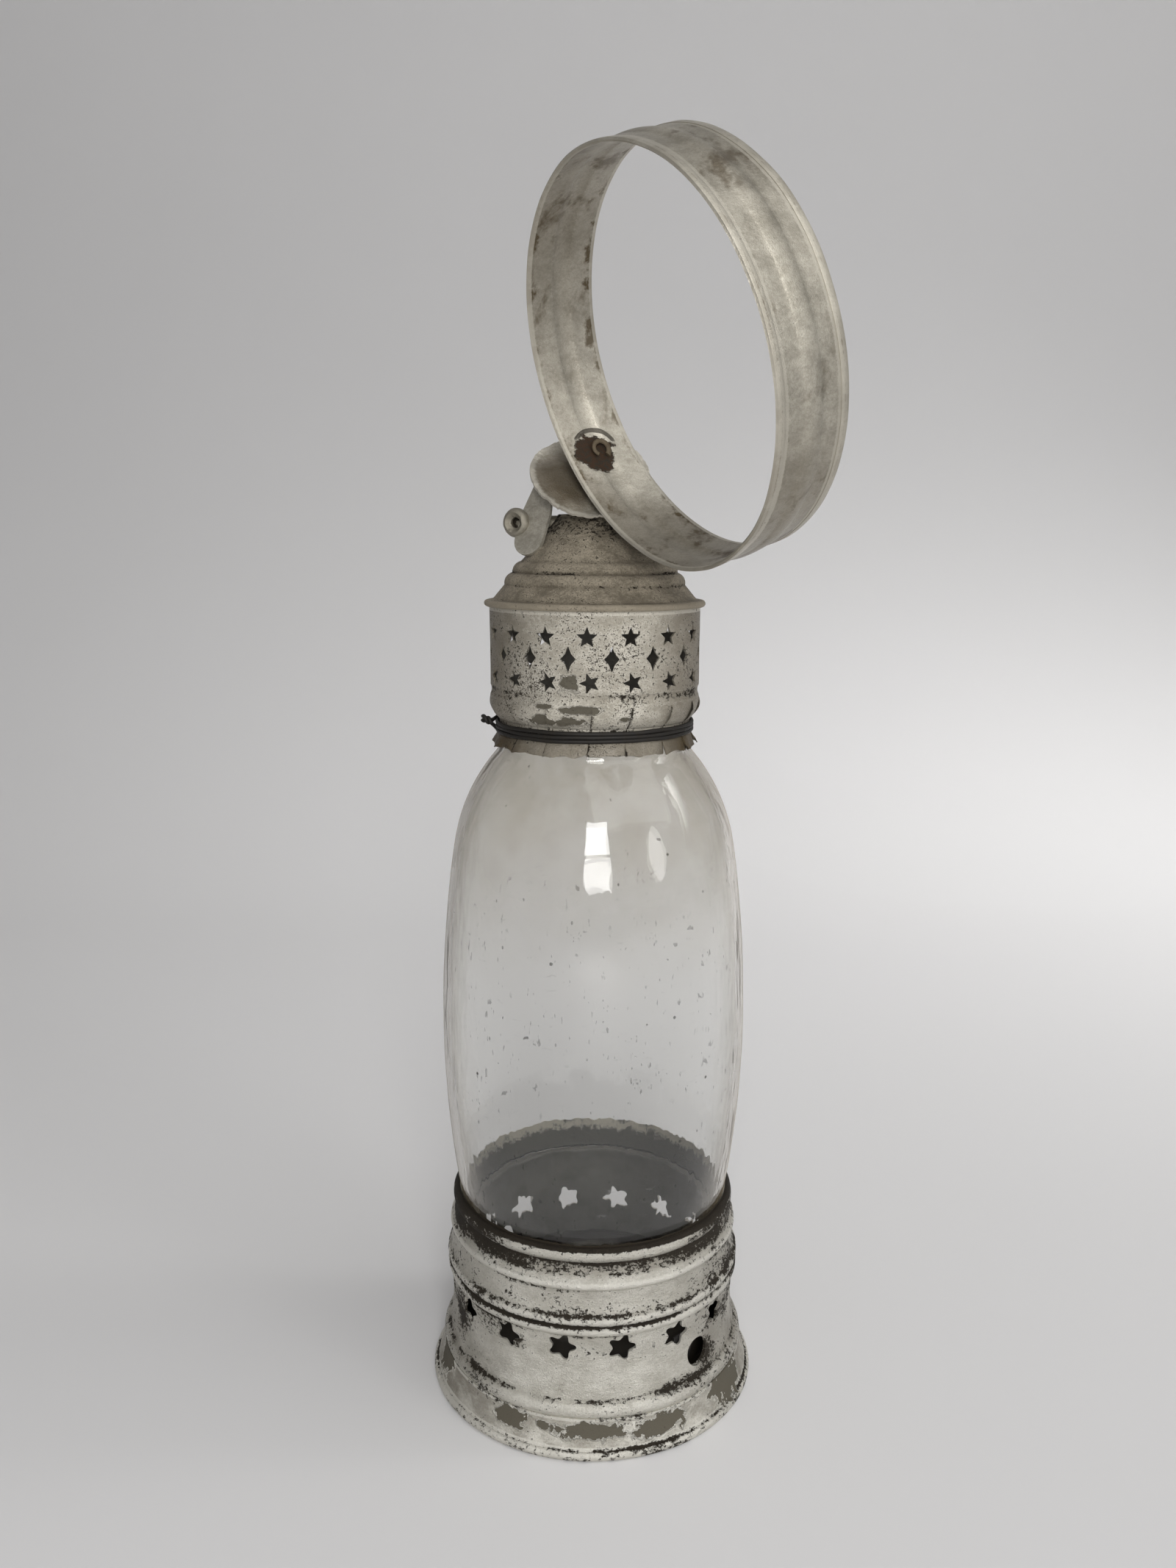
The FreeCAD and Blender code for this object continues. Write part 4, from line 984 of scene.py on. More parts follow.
def row_values(label, *values):
    """Inputs of one row of holes."""
    return {label + " " + name: value for name, value in zip(ROW_INPUTS, values)}


def punches(entry, label, motif):
    """Row of punches that stand through a turned wall: stars, diamonds or round holes."""
    board = entry.board
    count, first, level, reach, waist, roll = (entry.sibling(label + " " + name) for name in ROW_INPUTS)
    if motif == "star":
        shape = star_curve(board, STAR_TIPS, waist, reach)
    else:
        if motif == "round":
            unit = circle_curve(board, HOLE_STEPS, 1.0)
        else:
            unit = star_curve(board, DIAMOND_TIPS, entry.sibling("Hollow"), 1.0)
        scale = board.xyz(X=waist, Y=reach, Z=1.0)
        shape = board.node("GeometryNodeTransform", {}, {"Geometry": unit, "Scale": scale})
    shape = board.node("GeometryNodeTransform", {}, {"Geometry": shape, "Rotation": board.xyz(Z=roll)})
    if motif != "round":
        shape = board.node("GeometryNodeFilletCurve", {"mode": "POLY"}, {
            "Curve": shape, "Count": CORNER_STEPS, "Radius": entry.sibling("Rounding"),
            "Limit Radius": True})
    near = board.xyz(X=entry.sibling("Near"), Z=level)
    far = board.xyz(X=entry.sibling("Far"), Z=level)
    line = board.node("GeometryNodeCurvePrimitiveLine", {"mode": "POINTS"}, {"Start": near, "End": far})
    turn = even_turn(board, count, first)
    behind = (board.math("SINE", turn) + 1.0) / 2
    return copies_round(board, swept(board, line, shape), count, turn + behind * entry.sibling("Drift"))


def piercing_tree(name, rows):
    """Tree that punches rows of holes, given as labels and motifs, through a turned shell."""
    inputs = [(label, "Float") for label in ("Near", "Far", "Rounding", "Drift", "Hollow")]
    for label in rows:
        inputs += [(label + " " + part, "Int" if part == "Count" else "Float") for part in ROW_INPUTS]
    tree, entry = growing_tree(name, inputs)
    board = entry.board
    tools = board.node("GeometryNodeJoinGeometry")
    for label, motif in rows.items():
        tree.links.new(punches(entry, label, motif).socket, tools.socket.node.inputs[0])
    hand_out(entry, board.node("GeometryNodeMeshBoolean", {"operation": "DIFFERENCE", "solver": "EXACT"},
                               {"Mesh 1": entry, "Mesh 2": tools}, "Mesh"))
    return tree


def wire_tree():
    """Tree that draws a round wire along the edges of a path."""
    tree, entry = growing_tree("Drawn wire", [("Radius", "Float")])
    board = entry.board
    path = board.node("GeometryNodeMeshToCurve", {}, {"Mesh": entry})
    hand_out(entry, swept(board, path, circle_curve(board, WIRE_SIDES, entry.sibling("Radius"))))
    return tree


def tab_tree():
    """Tree that sets a ring of gathered tabs, each a little out of true, with ragged ends."""
    inputs = [("Count", "Int"), ("First", "Float"), ("Stray", "Float"), ("Ragged", "Float"),
              ("Ragged Start", "Float"), ("Ragged Full", "Float")]
    tree, entry = growing_tree("Gathered tabs", inputs)
    board = entry.board
    count = entry.sibling("Count")
    stray = board.node("FunctionNodeRandomValue", {"data_type": "FLOAT"},
                       {2: -1.0, 3: 1.0, "Seed": TAB_SEED}, 1)
    turn = even_turn(board, count, entry.sibling("First")) + stray * entry.sibling("Stray")
    ring = copies_round(board, entry, count, turn)
    position = board.node("GeometryNodeInputPosition")
    height = board.node("ShaderNodeSeparateXYZ", {}, {0: position}, "Z")
    low = board.smooth(height, entry.sibling("Ragged Start"), entry.sibling("Ragged Full"))
    waves = board.noise(position, "tab waves") - 0.5
    teeth = board.noise(position, "tab teeth") - 0.5
    shift = board.xyz(Z=(waves * 2.0 + teeth) * low * entry.sibling("Ragged"))
    hand_out(entry, board.node("GeometryNodeSetPosition", {}, {"Geometry": ring, "Offset": shift}))
    return tree


# Pieces
def glass_radius(size, level):
    """Outer radius of the glass below its belly."""
    drop = size.belly_level - level
    return GLOBE_HIGH.x - size.low_curve + math.sqrt(size.low_curve ** 2 - drop ** 2)


def pierce(made, outline, name, rows, values):
    """Punch rows of holes through a turned shell, then mark its hollows and edges again."""
    grown(made, piercing_tree(name, rows), values)
    cleaned(made)
    outline.mark_hollows_and_edges(made)


def sizes_and_colours(context):
    return context.scene.lantern_sizes, context.scene.lantern_colours


class LANTERN_OT_foot(bpy.types.Operator):
    """Turn the flared foot with its rolled hem"""
    bl_idname = "lantern.foot"
    bl_label = "Foot"

    def execute(self, context):
        size, colours = sizes_and_colours(context)
        radius, top = FOOT_HIGH.x, FOOT_HIGH.z
        half = size.hem_height / 2
        inner = radius - size.hem_width
        outline = outline_of(size, (
            (inner, 0),
            (radius - half, 0),
            (radius, half, half),
            (radius - half, size.hem_height, half),
            (radius - size.tin_wall * 1.5, size.hem_height),
            (size.foot_top_radius, top, -size.foot_flare),
            (size.foot_top_radius - size.tin_wall, top),
            (inner, size.hem_height, size.foot_flare),
        ))
        made = cleaned(turned("foot_skirt", outline, size.steps_round, size.dent_depth * 0.6))
        paint = worn_paint("foot_paint", colours.paint, colours.paint_shade, colours, pits=-0.01, dirt=0.4,
                           chips=(radius, FOOT_CHIPS), stains_and_shade=foot_stains, haze_and_shade=foot_film_and_shade, grit=0.8)
        settle(made, "lantern", ["foot_ring"], paint, smoked_tin(colours))
        return {"FINISHED"}


class LANTERN_OT_base(bpy.types.Operator):
    """Turn the beaded base shell and punch its stars and catch holes"""
    bl_idname = "lantern.base"
    bl_label = "Base shell"

    def execute(self, context):
        size, colours = sizes_and_colours(context)
        outline = self.outline(size)
        made = cleaned(turned("base_skin", outline, size.steps_round, size.dent_depth))
        paint = worn_paint("base_paint", colours.paint, colours.paint_shade, colours, stains_and_shade=base_stains_and_shade,
                           haze_and_shade=base_film_and_shade, gloss=0.33, shine=0.75, grit=0.95)
        half_pitch = HALF_TURN / size.star_count
        pierce(made, outline, "Pierced base", {"Star": "star", "Catch": "round"}, {
            "Near": size.waist_low * 0.8, "Far": size.waist_low * 1.2,
            "Rounding": size.star_rounding, "Drift": 0.0, "Finish": paint,
            **row_values("Star", size.star_count, half_pitch - QUARTER_TURN, size.base_star_level,
                         size.base_star_reach, size.base_star_waist, HALF_TURN),
            **row_values("Catch", 2, size.catch_turn - QUARTER_TURN, size.catch_level,
                         size.catch_radius, size.catch_half_width, 0.0),
        })
        settle(made, "lantern", ["base_shell"], paint, smoked_tin(colours))
        return {"FINISHED"}

    def outline(self, size):
        wall = size.tin_wall
        foot_top, collar_top = BASE_LOW.z, BASE_HIGH.z
        edge = size.foot_top_radius - wall / 2
        bead_top = foot_top + size.bead_height
        belt_mid = size.belt_level + size.belt_bead
        belt_top = belt_mid + size.belt_bead
        cove_top = belt_top + size.cove_height
        neck_top = cove_top + size.neck_bead
        collar_low = collar_top - size.collar_roll
        bore = glass_radius(size, collar_top) + size.collar_gap
        collar = bore + size.collar_wall
        neck_inside = size.cove_radius - wall * 1.8
        waist_inside = size.waist_high - wall * 1.5
        return outline_of(size, (
            (edge - wall * 2, foot_top),
            (edge, foot_top),
            (size.waist_low + wall / 2, bead_top, size.bead_curve),
            (size.waist_low, bead_top + wall / 2),
            (size.waist_high, size.belt_level, -size.waist_curve),
            (size.waist_high, belt_mid, size.belt_curve),
            (size.waist_high, belt_top, size.belt_curve),
            (size.cove_radius, cove_top, -size.cove_curve),
            (size.cove_radius, neck_top, size.neck_curve),
            (size.cove_radius - wall / 2, neck_top + wall),
            (collar, collar_low),
            (collar, collar_top, size.collar_curve),
            (bore, collar_top),
            (bore, collar_low),
            (neck_inside, neck_top + size.seat_depth),
            (neck_inside, cove_top),
            (waist_inside, belt_top),
            (waist_inside, bead_top + wall),
            (edge - wall * 2, bead_top - wall),
        ))


class LANTERN_OT_glass(bpy.types.Operator):
    """Blow the globe and lay the ragged plaster at its foot"""
    bl_idname = "lantern.glass"
    bl_label = "Glass globe and plaster"

    def execute(self, context):
        size, colours = sizes_and_colours(context)
        self.globe(size, colours)
        self.plaster(size, colours)
        return {"FINISHED"}

    def globe(self, size, colours):
        wall, belly, neck = size.glass_wall, GLOBE_HIGH.x, size.neck_radius
        rise = size.shoulder_level - size.belly_level
        shoulder = belly - size.high_curve + math.sqrt(size.high_curve ** 2 - rise ** 2)
        low = glass_radius(size, GLOBE_LOW.z)
        throat = neck + wall / 2
        outline = Outline((
            (low - wall, GLOBE_LOW.z, -(size.low_curve - wall)),
            (low, GLOBE_LOW.z),
            (belly, size.belly_level, size.low_curve),
            (shoulder, size.shoulder_level, size.high_curve),
            (throat, size.throat_level, size.shoulder_curve),
            (neck, size.neck_level),
            (neck, GLOBE_HIGH.z),
            (neck - wall, GLOBE_HIGH.z),
            (neck - wall, size.neck_level - wall / 2),
            (throat - wall * 1.2, size.throat_level - wall / 2),
            (shoulder - wall, size.shoulder_level, -(size.shoulder_curve - wall)),
            (belly - wall, size.belly_level, -(size.high_curve - wall)),
        ), size.long_step * 1.5, size.long_step)
        made = cleaned(turned("globe_glass", outline, size.steps_round, size.glass_wave))
        settle(made, "lantern", ["globe"], blown_glass(colours))

    def plaster(self, size, colours):
        """Thin ring of plaster on the glass, from the bed up to a ragged edge over the collar."""
        low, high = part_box("plaster_bed")
        collar_top = BASE_HIGH.z
        sections = []
        for step in range(size.steps_round):
            azimuth = FULL_TURN * step / size.steps_round
            spot = Vector((math.sin(azimuth), math.cos(azimuth), 0))
            rough = sum(noise.noise(spot * count) * height for count, height in PLASTER_LUMPS)
            top = high.z - size.plaster_sink + size.plaster_rise * max(rough + 0.25, -0.2)
            levels = (low.z, collar_top - size.plaster_root, collar_top, (collar_top + top) / 2)
            section = [(size.collar_gap * 0.95, level) for level in levels]
            section += [(size.collar_gap * 0.5, top), (size.plaster_skin, top)]
            section += [(size.plaster_skin, level) for level in reversed(levels)]
            sections.append([round_point(glass_radius(size, level) + gap, azimuth, level)
                             for gap, level in section])
        made = cleaned(lofted("plaster_line", sections, closed=True), 50)
        settle(made, "lantern", ["plaster_bed"], rough_plaster(colours))


class LANTERN_OT_band(bpy.types.Operator):
    """Turn the vent band, punch its stars and diamonds and gather its tabs"""
    bl_idname = "lantern.band"
    bl_label = "Vent band"

    def execute(self, context):
        size, colours = sizes_and_colours(context)
        paint = worn_paint("band_paint", colours.band, colours.band_shade, colours, pits=0.06,
                           chips=(BAND_HIGH.x, BAND_CHIPS), stains_and_shade=band_stains, haze_and_shade=band_grey_and_shade, gloss=0.46,
                           shine=0.55, grit=0.8, mottle=1.3)
        self.shell(size, paint, smoked_tin(colours))
        self.tabs(size, paint)
        return {"FINISHED"}

    def shell(self, size, paint, inside):
        radius, wall = BAND_HIGH.x, size.band_wall
        inner_groove = size.groove_radius - wall * 0.4
        outline = outline_of(size, (
            (inner_groove, size.groove_low),
            (size.groove_radius, size.groove_low),
            (size.groove_radius, size.groove_high),
            (radius, size.band_shoulder, size.band_draw),
            (radius - size.band_crease, size.band_shoulder + size.crease_bottom, -size.crease_low_curve),
            (radius, size.band_shoulder + size.crease_top, -size.crease_high_curve),
            (radius, BAND_HIGH.z),
            (radius - wall, BAND_HIGH.z),
            (radius - wall, size.band_shoulder),
            (inner_groove, size.groove_high, -(size.band_draw - wall)),
        ))
        made = cleaned(turned("vent_shell", outline, size.steps_round, size.dent_depth * 0.7))
        first = size.band_turn - QUARTER_TURN
        half_pitch = HALF_TURN / size.star_count
        star = (size.band_star_reach, size.band_star_waist)
        pierce(made, outline, "Pierced band", {"Low": "star", "High": "star", "Diamond": "diamond"}, {
            "Near": radius * 0.75, "Far": radius * 1.25, "Rounding": size.band_rounding,
            "Drift": size.band_drift, "Hollow": size.diamond_hollow, "Finish": paint,
            **row_values("Low", size.star_count, first, size.band_star_low, *star, 0.0),
            **row_values("High", size.star_count, first + size.band_high_turn, size.band_star_high,
                         *star, -QUARTER_TURN),
            **row_values("Diamond", size.star_count, first + half_pitch, size.diamond_level,
                         size.diamond_height / 2, size.diamond_width / 2, 0.0),
        })
        settle(made, "lantern", ["vent_band"], paint, inside)

    def looseness(self, size, level):
        """How freely a tab stands up: most at its end, some between the wire and its root."""
        if level < size.groove_low:
            return (size.groove_low - level) / (size.groove_low - size.tab_tip)
        share = (level - size.groove_high) / (size.tab_top - size.groove_high)
        return math.sin(math.pi * min(max(share, 0), 1)) * 0.8

    def tabs(self, size, paint):
        """Tabs that lap over each other, from one that is lofted across its width."""
        thick = size.tab_thickness
        pitch = FULL_TURN / size.star_count
        groove_in, groove_out = size.groove_radius - thick * 0.2, size.groove_radius + thick * 0.8
        outline = Outline((
            (groove_in, size.groove_low - thick),
            (size.tab_flare - thick, size.tab_tip),
            (size.tab_flare, size.tab_tip + thick * 0.4),
            (groove_out, size.groove_low),
            (groove_out, size.groove_high),
            (BAND_HIGH.x + thick * 0.3, size.tab_top, size.band_draw),
            (BAND_HIGH.x - thick * 0.7, size.tab_top),
            (groove_in, size.groove_high, -(size.band_draw - thick)),
        ), size.fine_step * 2, size.long_step)
        # Dark lines along each tab's side edges, in the slits: painted shade with some dirt
        slit_dirt_and_shade = 0.9
        ripple_turn = 11
        sections = []
        crease = []
        for step in range(size.tab_steps):
            share = step / (size.tab_steps - 1)
            azimuth = pitch * (1 + size.tab_lap) * (share - 0.5)
            lift = size.tab_lift * (1 - share) ** 2 - thick * share
            ripple = size.tab_ripple * math.sin(share * ripple_turn)
            section = []
            for reach, level in outline.samples:
                lifted = reach + (lift + ripple * (level < size.groove_low)) * self.looseness(size, level)
                slant = size.tab_slant * (level - size.groove_low) / (size.tab_top - size.groove_low)
                section.append(round_point(lifted, azimuth + slant, level))
                crease.append(slit_dirt_and_shade if share in (0, 1) else 0.0)
            sections.append(section)
        made = lofted("gathered_tabs", sections, closed=False)
        layer = made.data.attributes.new("crease", "FLOAT", "POINT")
        layer.data.foreach_set("value", np.array(crease, np.float32))
        grown(made, tab_tree(), {
            "Count": size.star_count, "First": size.band_turn + pitch / 2, "Stray": size.tab_stray,
            "Ragged": size.tab_ragged, "Ragged Start": size.groove_low,
            "Ragged Full": size.groove_low - size.tab_ragged_run, "Finish": paint})
        settle(cleaned(made, 40), "lantern", [], paint)


class LANTERN_OT_wire(bpy.types.Operator):
    """Wind the iron wire round the band and twist its ends"""
    bl_idname = "lantern.wire"
    bl_label = "Binding wire"

    def execute(self, context):
        size, colours = sizes_and_colours(context)
        iron = black_iron(colours)
        path = self.path(size)
        made = new_object("iron_wire", path, [], [(k, k + 1) for k in range(len(path) - 1)])
        grown(made, wire_tree(), {"Radius": size.wire_radius, "Finish": iron})
        settle(cleaned(made, 60), "lantern", ["binding_wire"], iron)
        return {"FINISHED"}

    def path(self, size):
        """Wire from one twisted end round the band to the other."""
        radius = size.groove_radius + size.tab_thickness + size.wire_radius
        out, side = Vector((-1, 0, 0)), Vector((0, -1, 0))
        start = out * (radius + size.wire_lead * 0.5) + UP * size.wire_level
        pigtail = out * 0.8 + UP * 0.3

        def strand(distance, phase):
            twist = phase + FULL_TURN * distance / size.pigtail_lay
            spread = side * math.sin(twist) - UP * math.cos(twist)
            return start + pigtail * distance + spread * size.pigtail_spread

        steps = size.pigtail_steps
        inward = [strand(size.pigtail_reach * (1 - k / steps), 0) for k in range(steps)]
        outward = [strand(size.pigtail_reach * k / steps, HALF_TURN) for k in range(1, steps + 1)]
        around = []
        turn_steps = size.wire_steps * size.wire_turns
        run_in = size.wire_lead / radius
        span = FULL_TURN * size.wire_turns - 2 * run_in
        rise = size.wire_pitch * size.wire_turns
        for k in range(turn_steps + 1):
            share = k / turn_steps
            turn = HALF_TURN + run_in + span * share
            direction = Vector((math.cos(turn), math.sin(turn), 0))
            waver = size.wire_waver * noise.noise(direction * 3 + UP * share * 4)
            around.append(direction * radius + UP * (size.wire_level + rise * (share - 0.5) + waver))
        return inward + around + outward


class LANTERN_OT_cap(bpy.types.Operator):
    """Turn the stepped conical cap with its rolled rim"""
    bl_idname = "lantern.cap"
    bl_label = "Conical cap"

    def execute(self, context):
        size, colours = sizes_and_colours(context)
        wall = size.tin_wall
        low, top = CAP_LOW.z, CAP_HIGH.z
        rim = CAP_HIGH.x - size.rim_inset
        rim_top = low + size.rim_height
        lip = BAND_HIGH.x - size.band_wall * 2
        outline = outline_of(size, (
            (lip, low),
            (rim, low),
            (rim, rim_top, size.rim_curve),
            (size.brim_radius, rim_top + wall / 2),
            (size.step_radius, size.step_level),
            (size.step_radius - size.step_drop, size.step_level + size.step_run, size.step_curve),
            (size.cone_radius + wall, size.cone_level - wall, size.step_curve),
            (size.cone_radius, size.cone_level),
            (size.cone_top_radius, top),
            (size.cone_top_radius - wall, top),
            (size.cone_radius - wall * 1.4, size.cone_level),
            (size.step_radius - wall * 1.6, size.step_level),
            (lip, rim_top - wall),
        ))
        made = cleaned(turned("cap_skin", outline, size.steps_round, size.dent_depth))
        paint = worn_paint("cap_paint", colours.cap, colours.cap_shade, colours, pits=0.04, dirt=0.6,
                           stains_and_shade=cap_stains, gloss=0.62, shine=0.3, grit=1.3, mottle=1.6)
        settle(made, "lantern", ["cone_cap"], paint, smoked_tin(colours))
        return {"FINISHED"}


def axes_matrix(origin, x_axis, z_axis):
    """Matrix of a frame with a given X and Z."""
    matrix = Matrix((x_axis, z_axis.cross(x_axis), z_axis)).transposed().to_4x4()
    matrix.translation = origin
    return matrix


def lean_axes(azimuth, elevation):
    """Axis along the hinge of a leaning plate, and its outward normal."""
    along = Vector((math.cos(azimuth), math.sin(azimuth), 0))
    return along, level_direction(azimuth) * math.cos(elevation) + UP * math.sin(elevation)


class HandleFrame:
    """Places and directions of the tilting handle at rest."""

    def __init__(self, size):
        self.hinge = Vector(HINGE["pos_m"])
        azimuth = math.atan2(-HINGE["axis"][1], -HINGE["axis"][0])
        self.along, normal = lean_axes(azimuth, size.disc_lean)
        lift = size.disc_offset + size.tin_wall + size.ring_lift
        self.seat = self.hinge + normal * lift + normal.cross(self.along) * size.ring_seat
        self.seat += self.along * size.ring_shift
        ring_along, ring_normal = lean_axes(size.ring_turn, size.ring_rise)
        self.ring_axis = Matrix.Rotation(size.ring_twist, 3, ring_normal) @ ring_along
        self.ring_centre = self.seat + ring_normal * size.ring_radius
        self.disc_matrix = axes_matrix(self.hinge + self.along * size.disc_shift, self.along, normal)
        self.ring_matrix = axes_matrix(self.ring_centre, ring_normal * -1, self.ring_axis)
        self.rivet_matrix = axes_matrix(self.seat, self.ring_axis, ring_normal)
        self.rod_matrix = axes_matrix(UP * size.rod_level, UP, self.along)


class LANTERN_OT_carrier(bpy.types.Operator):
    """Cut the leaning legs, roll the ends of the cross rod and finish the hinge wire"""
    bl_idname = "lantern.carrier"
    bl_label = "Legs and cross rod"

    def execute(self, context):
        size, colours = sizes_and_colours(context)
        place = HandleFrame(size)
        turns = Matrix.Identity(4), Matrix.Rotation(HALF_TURN, 4, "Z")
        paint = worn_paint("leg_paint", colours.strap, colours.strap_shade, colours, pits=-0.04, dirt=0.4)
        for node, turn in zip(("leg_left", "leg_right"), turns):
            made = self.leg(size, place, node)
            made.data.transform(turn)
            settle(cleaned(made), "lantern", [node], paint)
        # Heavy crease darkening in the rolled ends' hollows: painted shade in the recess, with dirt
        rolled = worn_paint("rod_paint", colours.strap_shade, colours.cap_shade, colours, pits=0.03,
                            dirt=1.6, grit=0.5)
        settle(cleaned(self.rod(size, place, turns)), "lantern", ["cross_rod"], rolled)
        coat(frame["nodes"]["hinge_wire"], black_iron(colours))
        return {"FINISHED"}

    def leg(self, size, place, node):
        """Strip with a rounded foot that leans in from the cap's flank to the hinge."""
        foot = level_direction(size.leg_foot_turn) * size.leg_foot_reach + UP * size.leg_foot_level
        top = place.hinge - place.along * size.leg_top_reach + UP * size.leg_wall
        rise = (top - foot).normalized()
        across = level_direction(size.leg_face).cross(rise).normalized()
        face = rise.cross(across)
        half, high = size.leg_width / 2, (top - foot).length
        rim = []
        for step in range(size.leg_steps + 1):
            turn = HALF_TURN * step / size.leg_steps
            rim.append((-half * math.cos(turn), half - half * math.sin(turn)))
        tapered = [(half, high * 0.55), (half * 0.62, high - half * 0.3), (half * 0.3, high)]
        rim += tapered + [(-u, v) for u, v in reversed(tapered)]
        sections = []
        for side in (0.5, -0.5):
            lift = face * size.leg_wall * side
            sections.append([foot + across * u + rise * v + lift for u, v in rim])
        return lofted(node + "_strip", sections, closed=False)

    def rod(self, size, place, turns):
        """Rod through the cap with a rolled grommet at each end."""
        mid, half = (size.rod_head + size.rod_bore) / 2, size.rod_head_half
        curve = half * 0.95
        outline = outline_of(size, (
            (0, -half),
            (mid, -half),
            (size.rod_head, 0, curve),
            (mid, half, curve),
            (size.rod_bore, half * 0.3),
            (size.rod_bore, -half * 0.7),
            (0, -half * 0.7),
        ))
        centre = place.along * -size.rod_reach + UP * size.rod_level
        parts = []
        for turn in turns:
            head = turned("rod_head", outline, size.head_steps, size.dent_depth * 0.6)
            head.data.transform(turn @ axes_matrix(centre, UP, level_direction(size.rod_face)))
            parts.append(head)
        reach = size.rod_reach - size.rod_head * 0.5
        thick = size.rod_radius
        shaft = outline_of(size, ((0, -reach), (thick, -reach), (thick, reach), (0, reach)))
        rod = turned("rod_shaft", shaft, size.rod_steps)
        rod.data.transform(place.rod_matrix)
        return merged("rolled_rod", parts + [rod])


class LANTERN_OT_disc(bpy.types.Operator):
    """Turn the smoke disc and fold its rim"""
    bl_idname = "lantern.disc"
    bl_label = "Smoke disc"

    def execute(self, context):
        size, colours = sizes_and_colours(context)
        place = HandleFrame(size)
        low, high = size.disc_offset, size.disc_offset + size.tin_wall
        flat = size.disc_radius - size.disc_rim
        made = turned("smoke_plate", outline_of(size, (
            (0, low),
            (flat, low),
            (size.disc_radius, low + size.disc_rise),
            (size.disc_radius, high + size.disc_rise),
            (flat, high),
            (0, high),
        )), size.disc_steps)
        self.buckle(size, made, flat)
        made.data.transform(place.disc_matrix)
        paint = worn_paint("disc_paint", colours.band, colours.cap, colours, pits=-0.04, dirt=0.3,
                           haze_and_shade=self.smudge(place), shine=0.6, grit=0.6, mottle=1.1)
        settle(cleaned(made), "handle", ["smoke_disc"], paint)
        coat(frame["nodes"]["disc_knuckle"], paint)
        return {"FINISHED"}

    def buckle(self, size, made, flat):
        """Fold the rim, raise lumps in the face, bend the back left down and mark the rim for a painted
        highlight.
        """
        bend_start = 0.42
        edge = made.data.attributes["edge"]
        for vertex in made.data.vertices:
            place = vertex.co
            share = max(math.hypot(place.x, place.y) - flat, 0) / size.disc_rim
            azimuth = math.atan2(place.y, place.x)
            spot = Vector((math.cos(azimuth), math.sin(azimuth), 0))
            folds = abs(noise.noise(spot * 4.5)) + 0.7 * abs(noise.noise(spot * 11))
            place.z += size.disc_folds * share * share * folds
            place.z += size.disc_lumps * max(noise.noise(place * 90), 0)
            back_left = (0.8 * place.y - 0.6 * place.x) / size.disc_radius
            place.z -= size.disc_droop * (max(back_left - bend_start, 0) / (1 - bend_start)) ** 2
            # The rim's share goes into the edge mark, which paints the turned rim lighter: a painted
            # highlight, with rubbed wear
            edge.data[vertex.index].value = share

    def smudge(self, place):
        """Brown smoke stain at the left of the disc."""
        middle = place.disc_matrix @ (Vector((-7.5, -3.0, 3.4)) * MM)

        def haze_and_shade(board, spot):
            cloud = board.noise(spot.spot, "disc stain")
            return board.smooth(spot.near(middle) + (cloud - 0.5) * 14.0, 19.0, 5.0) * 0.85
        return haze_and_shade


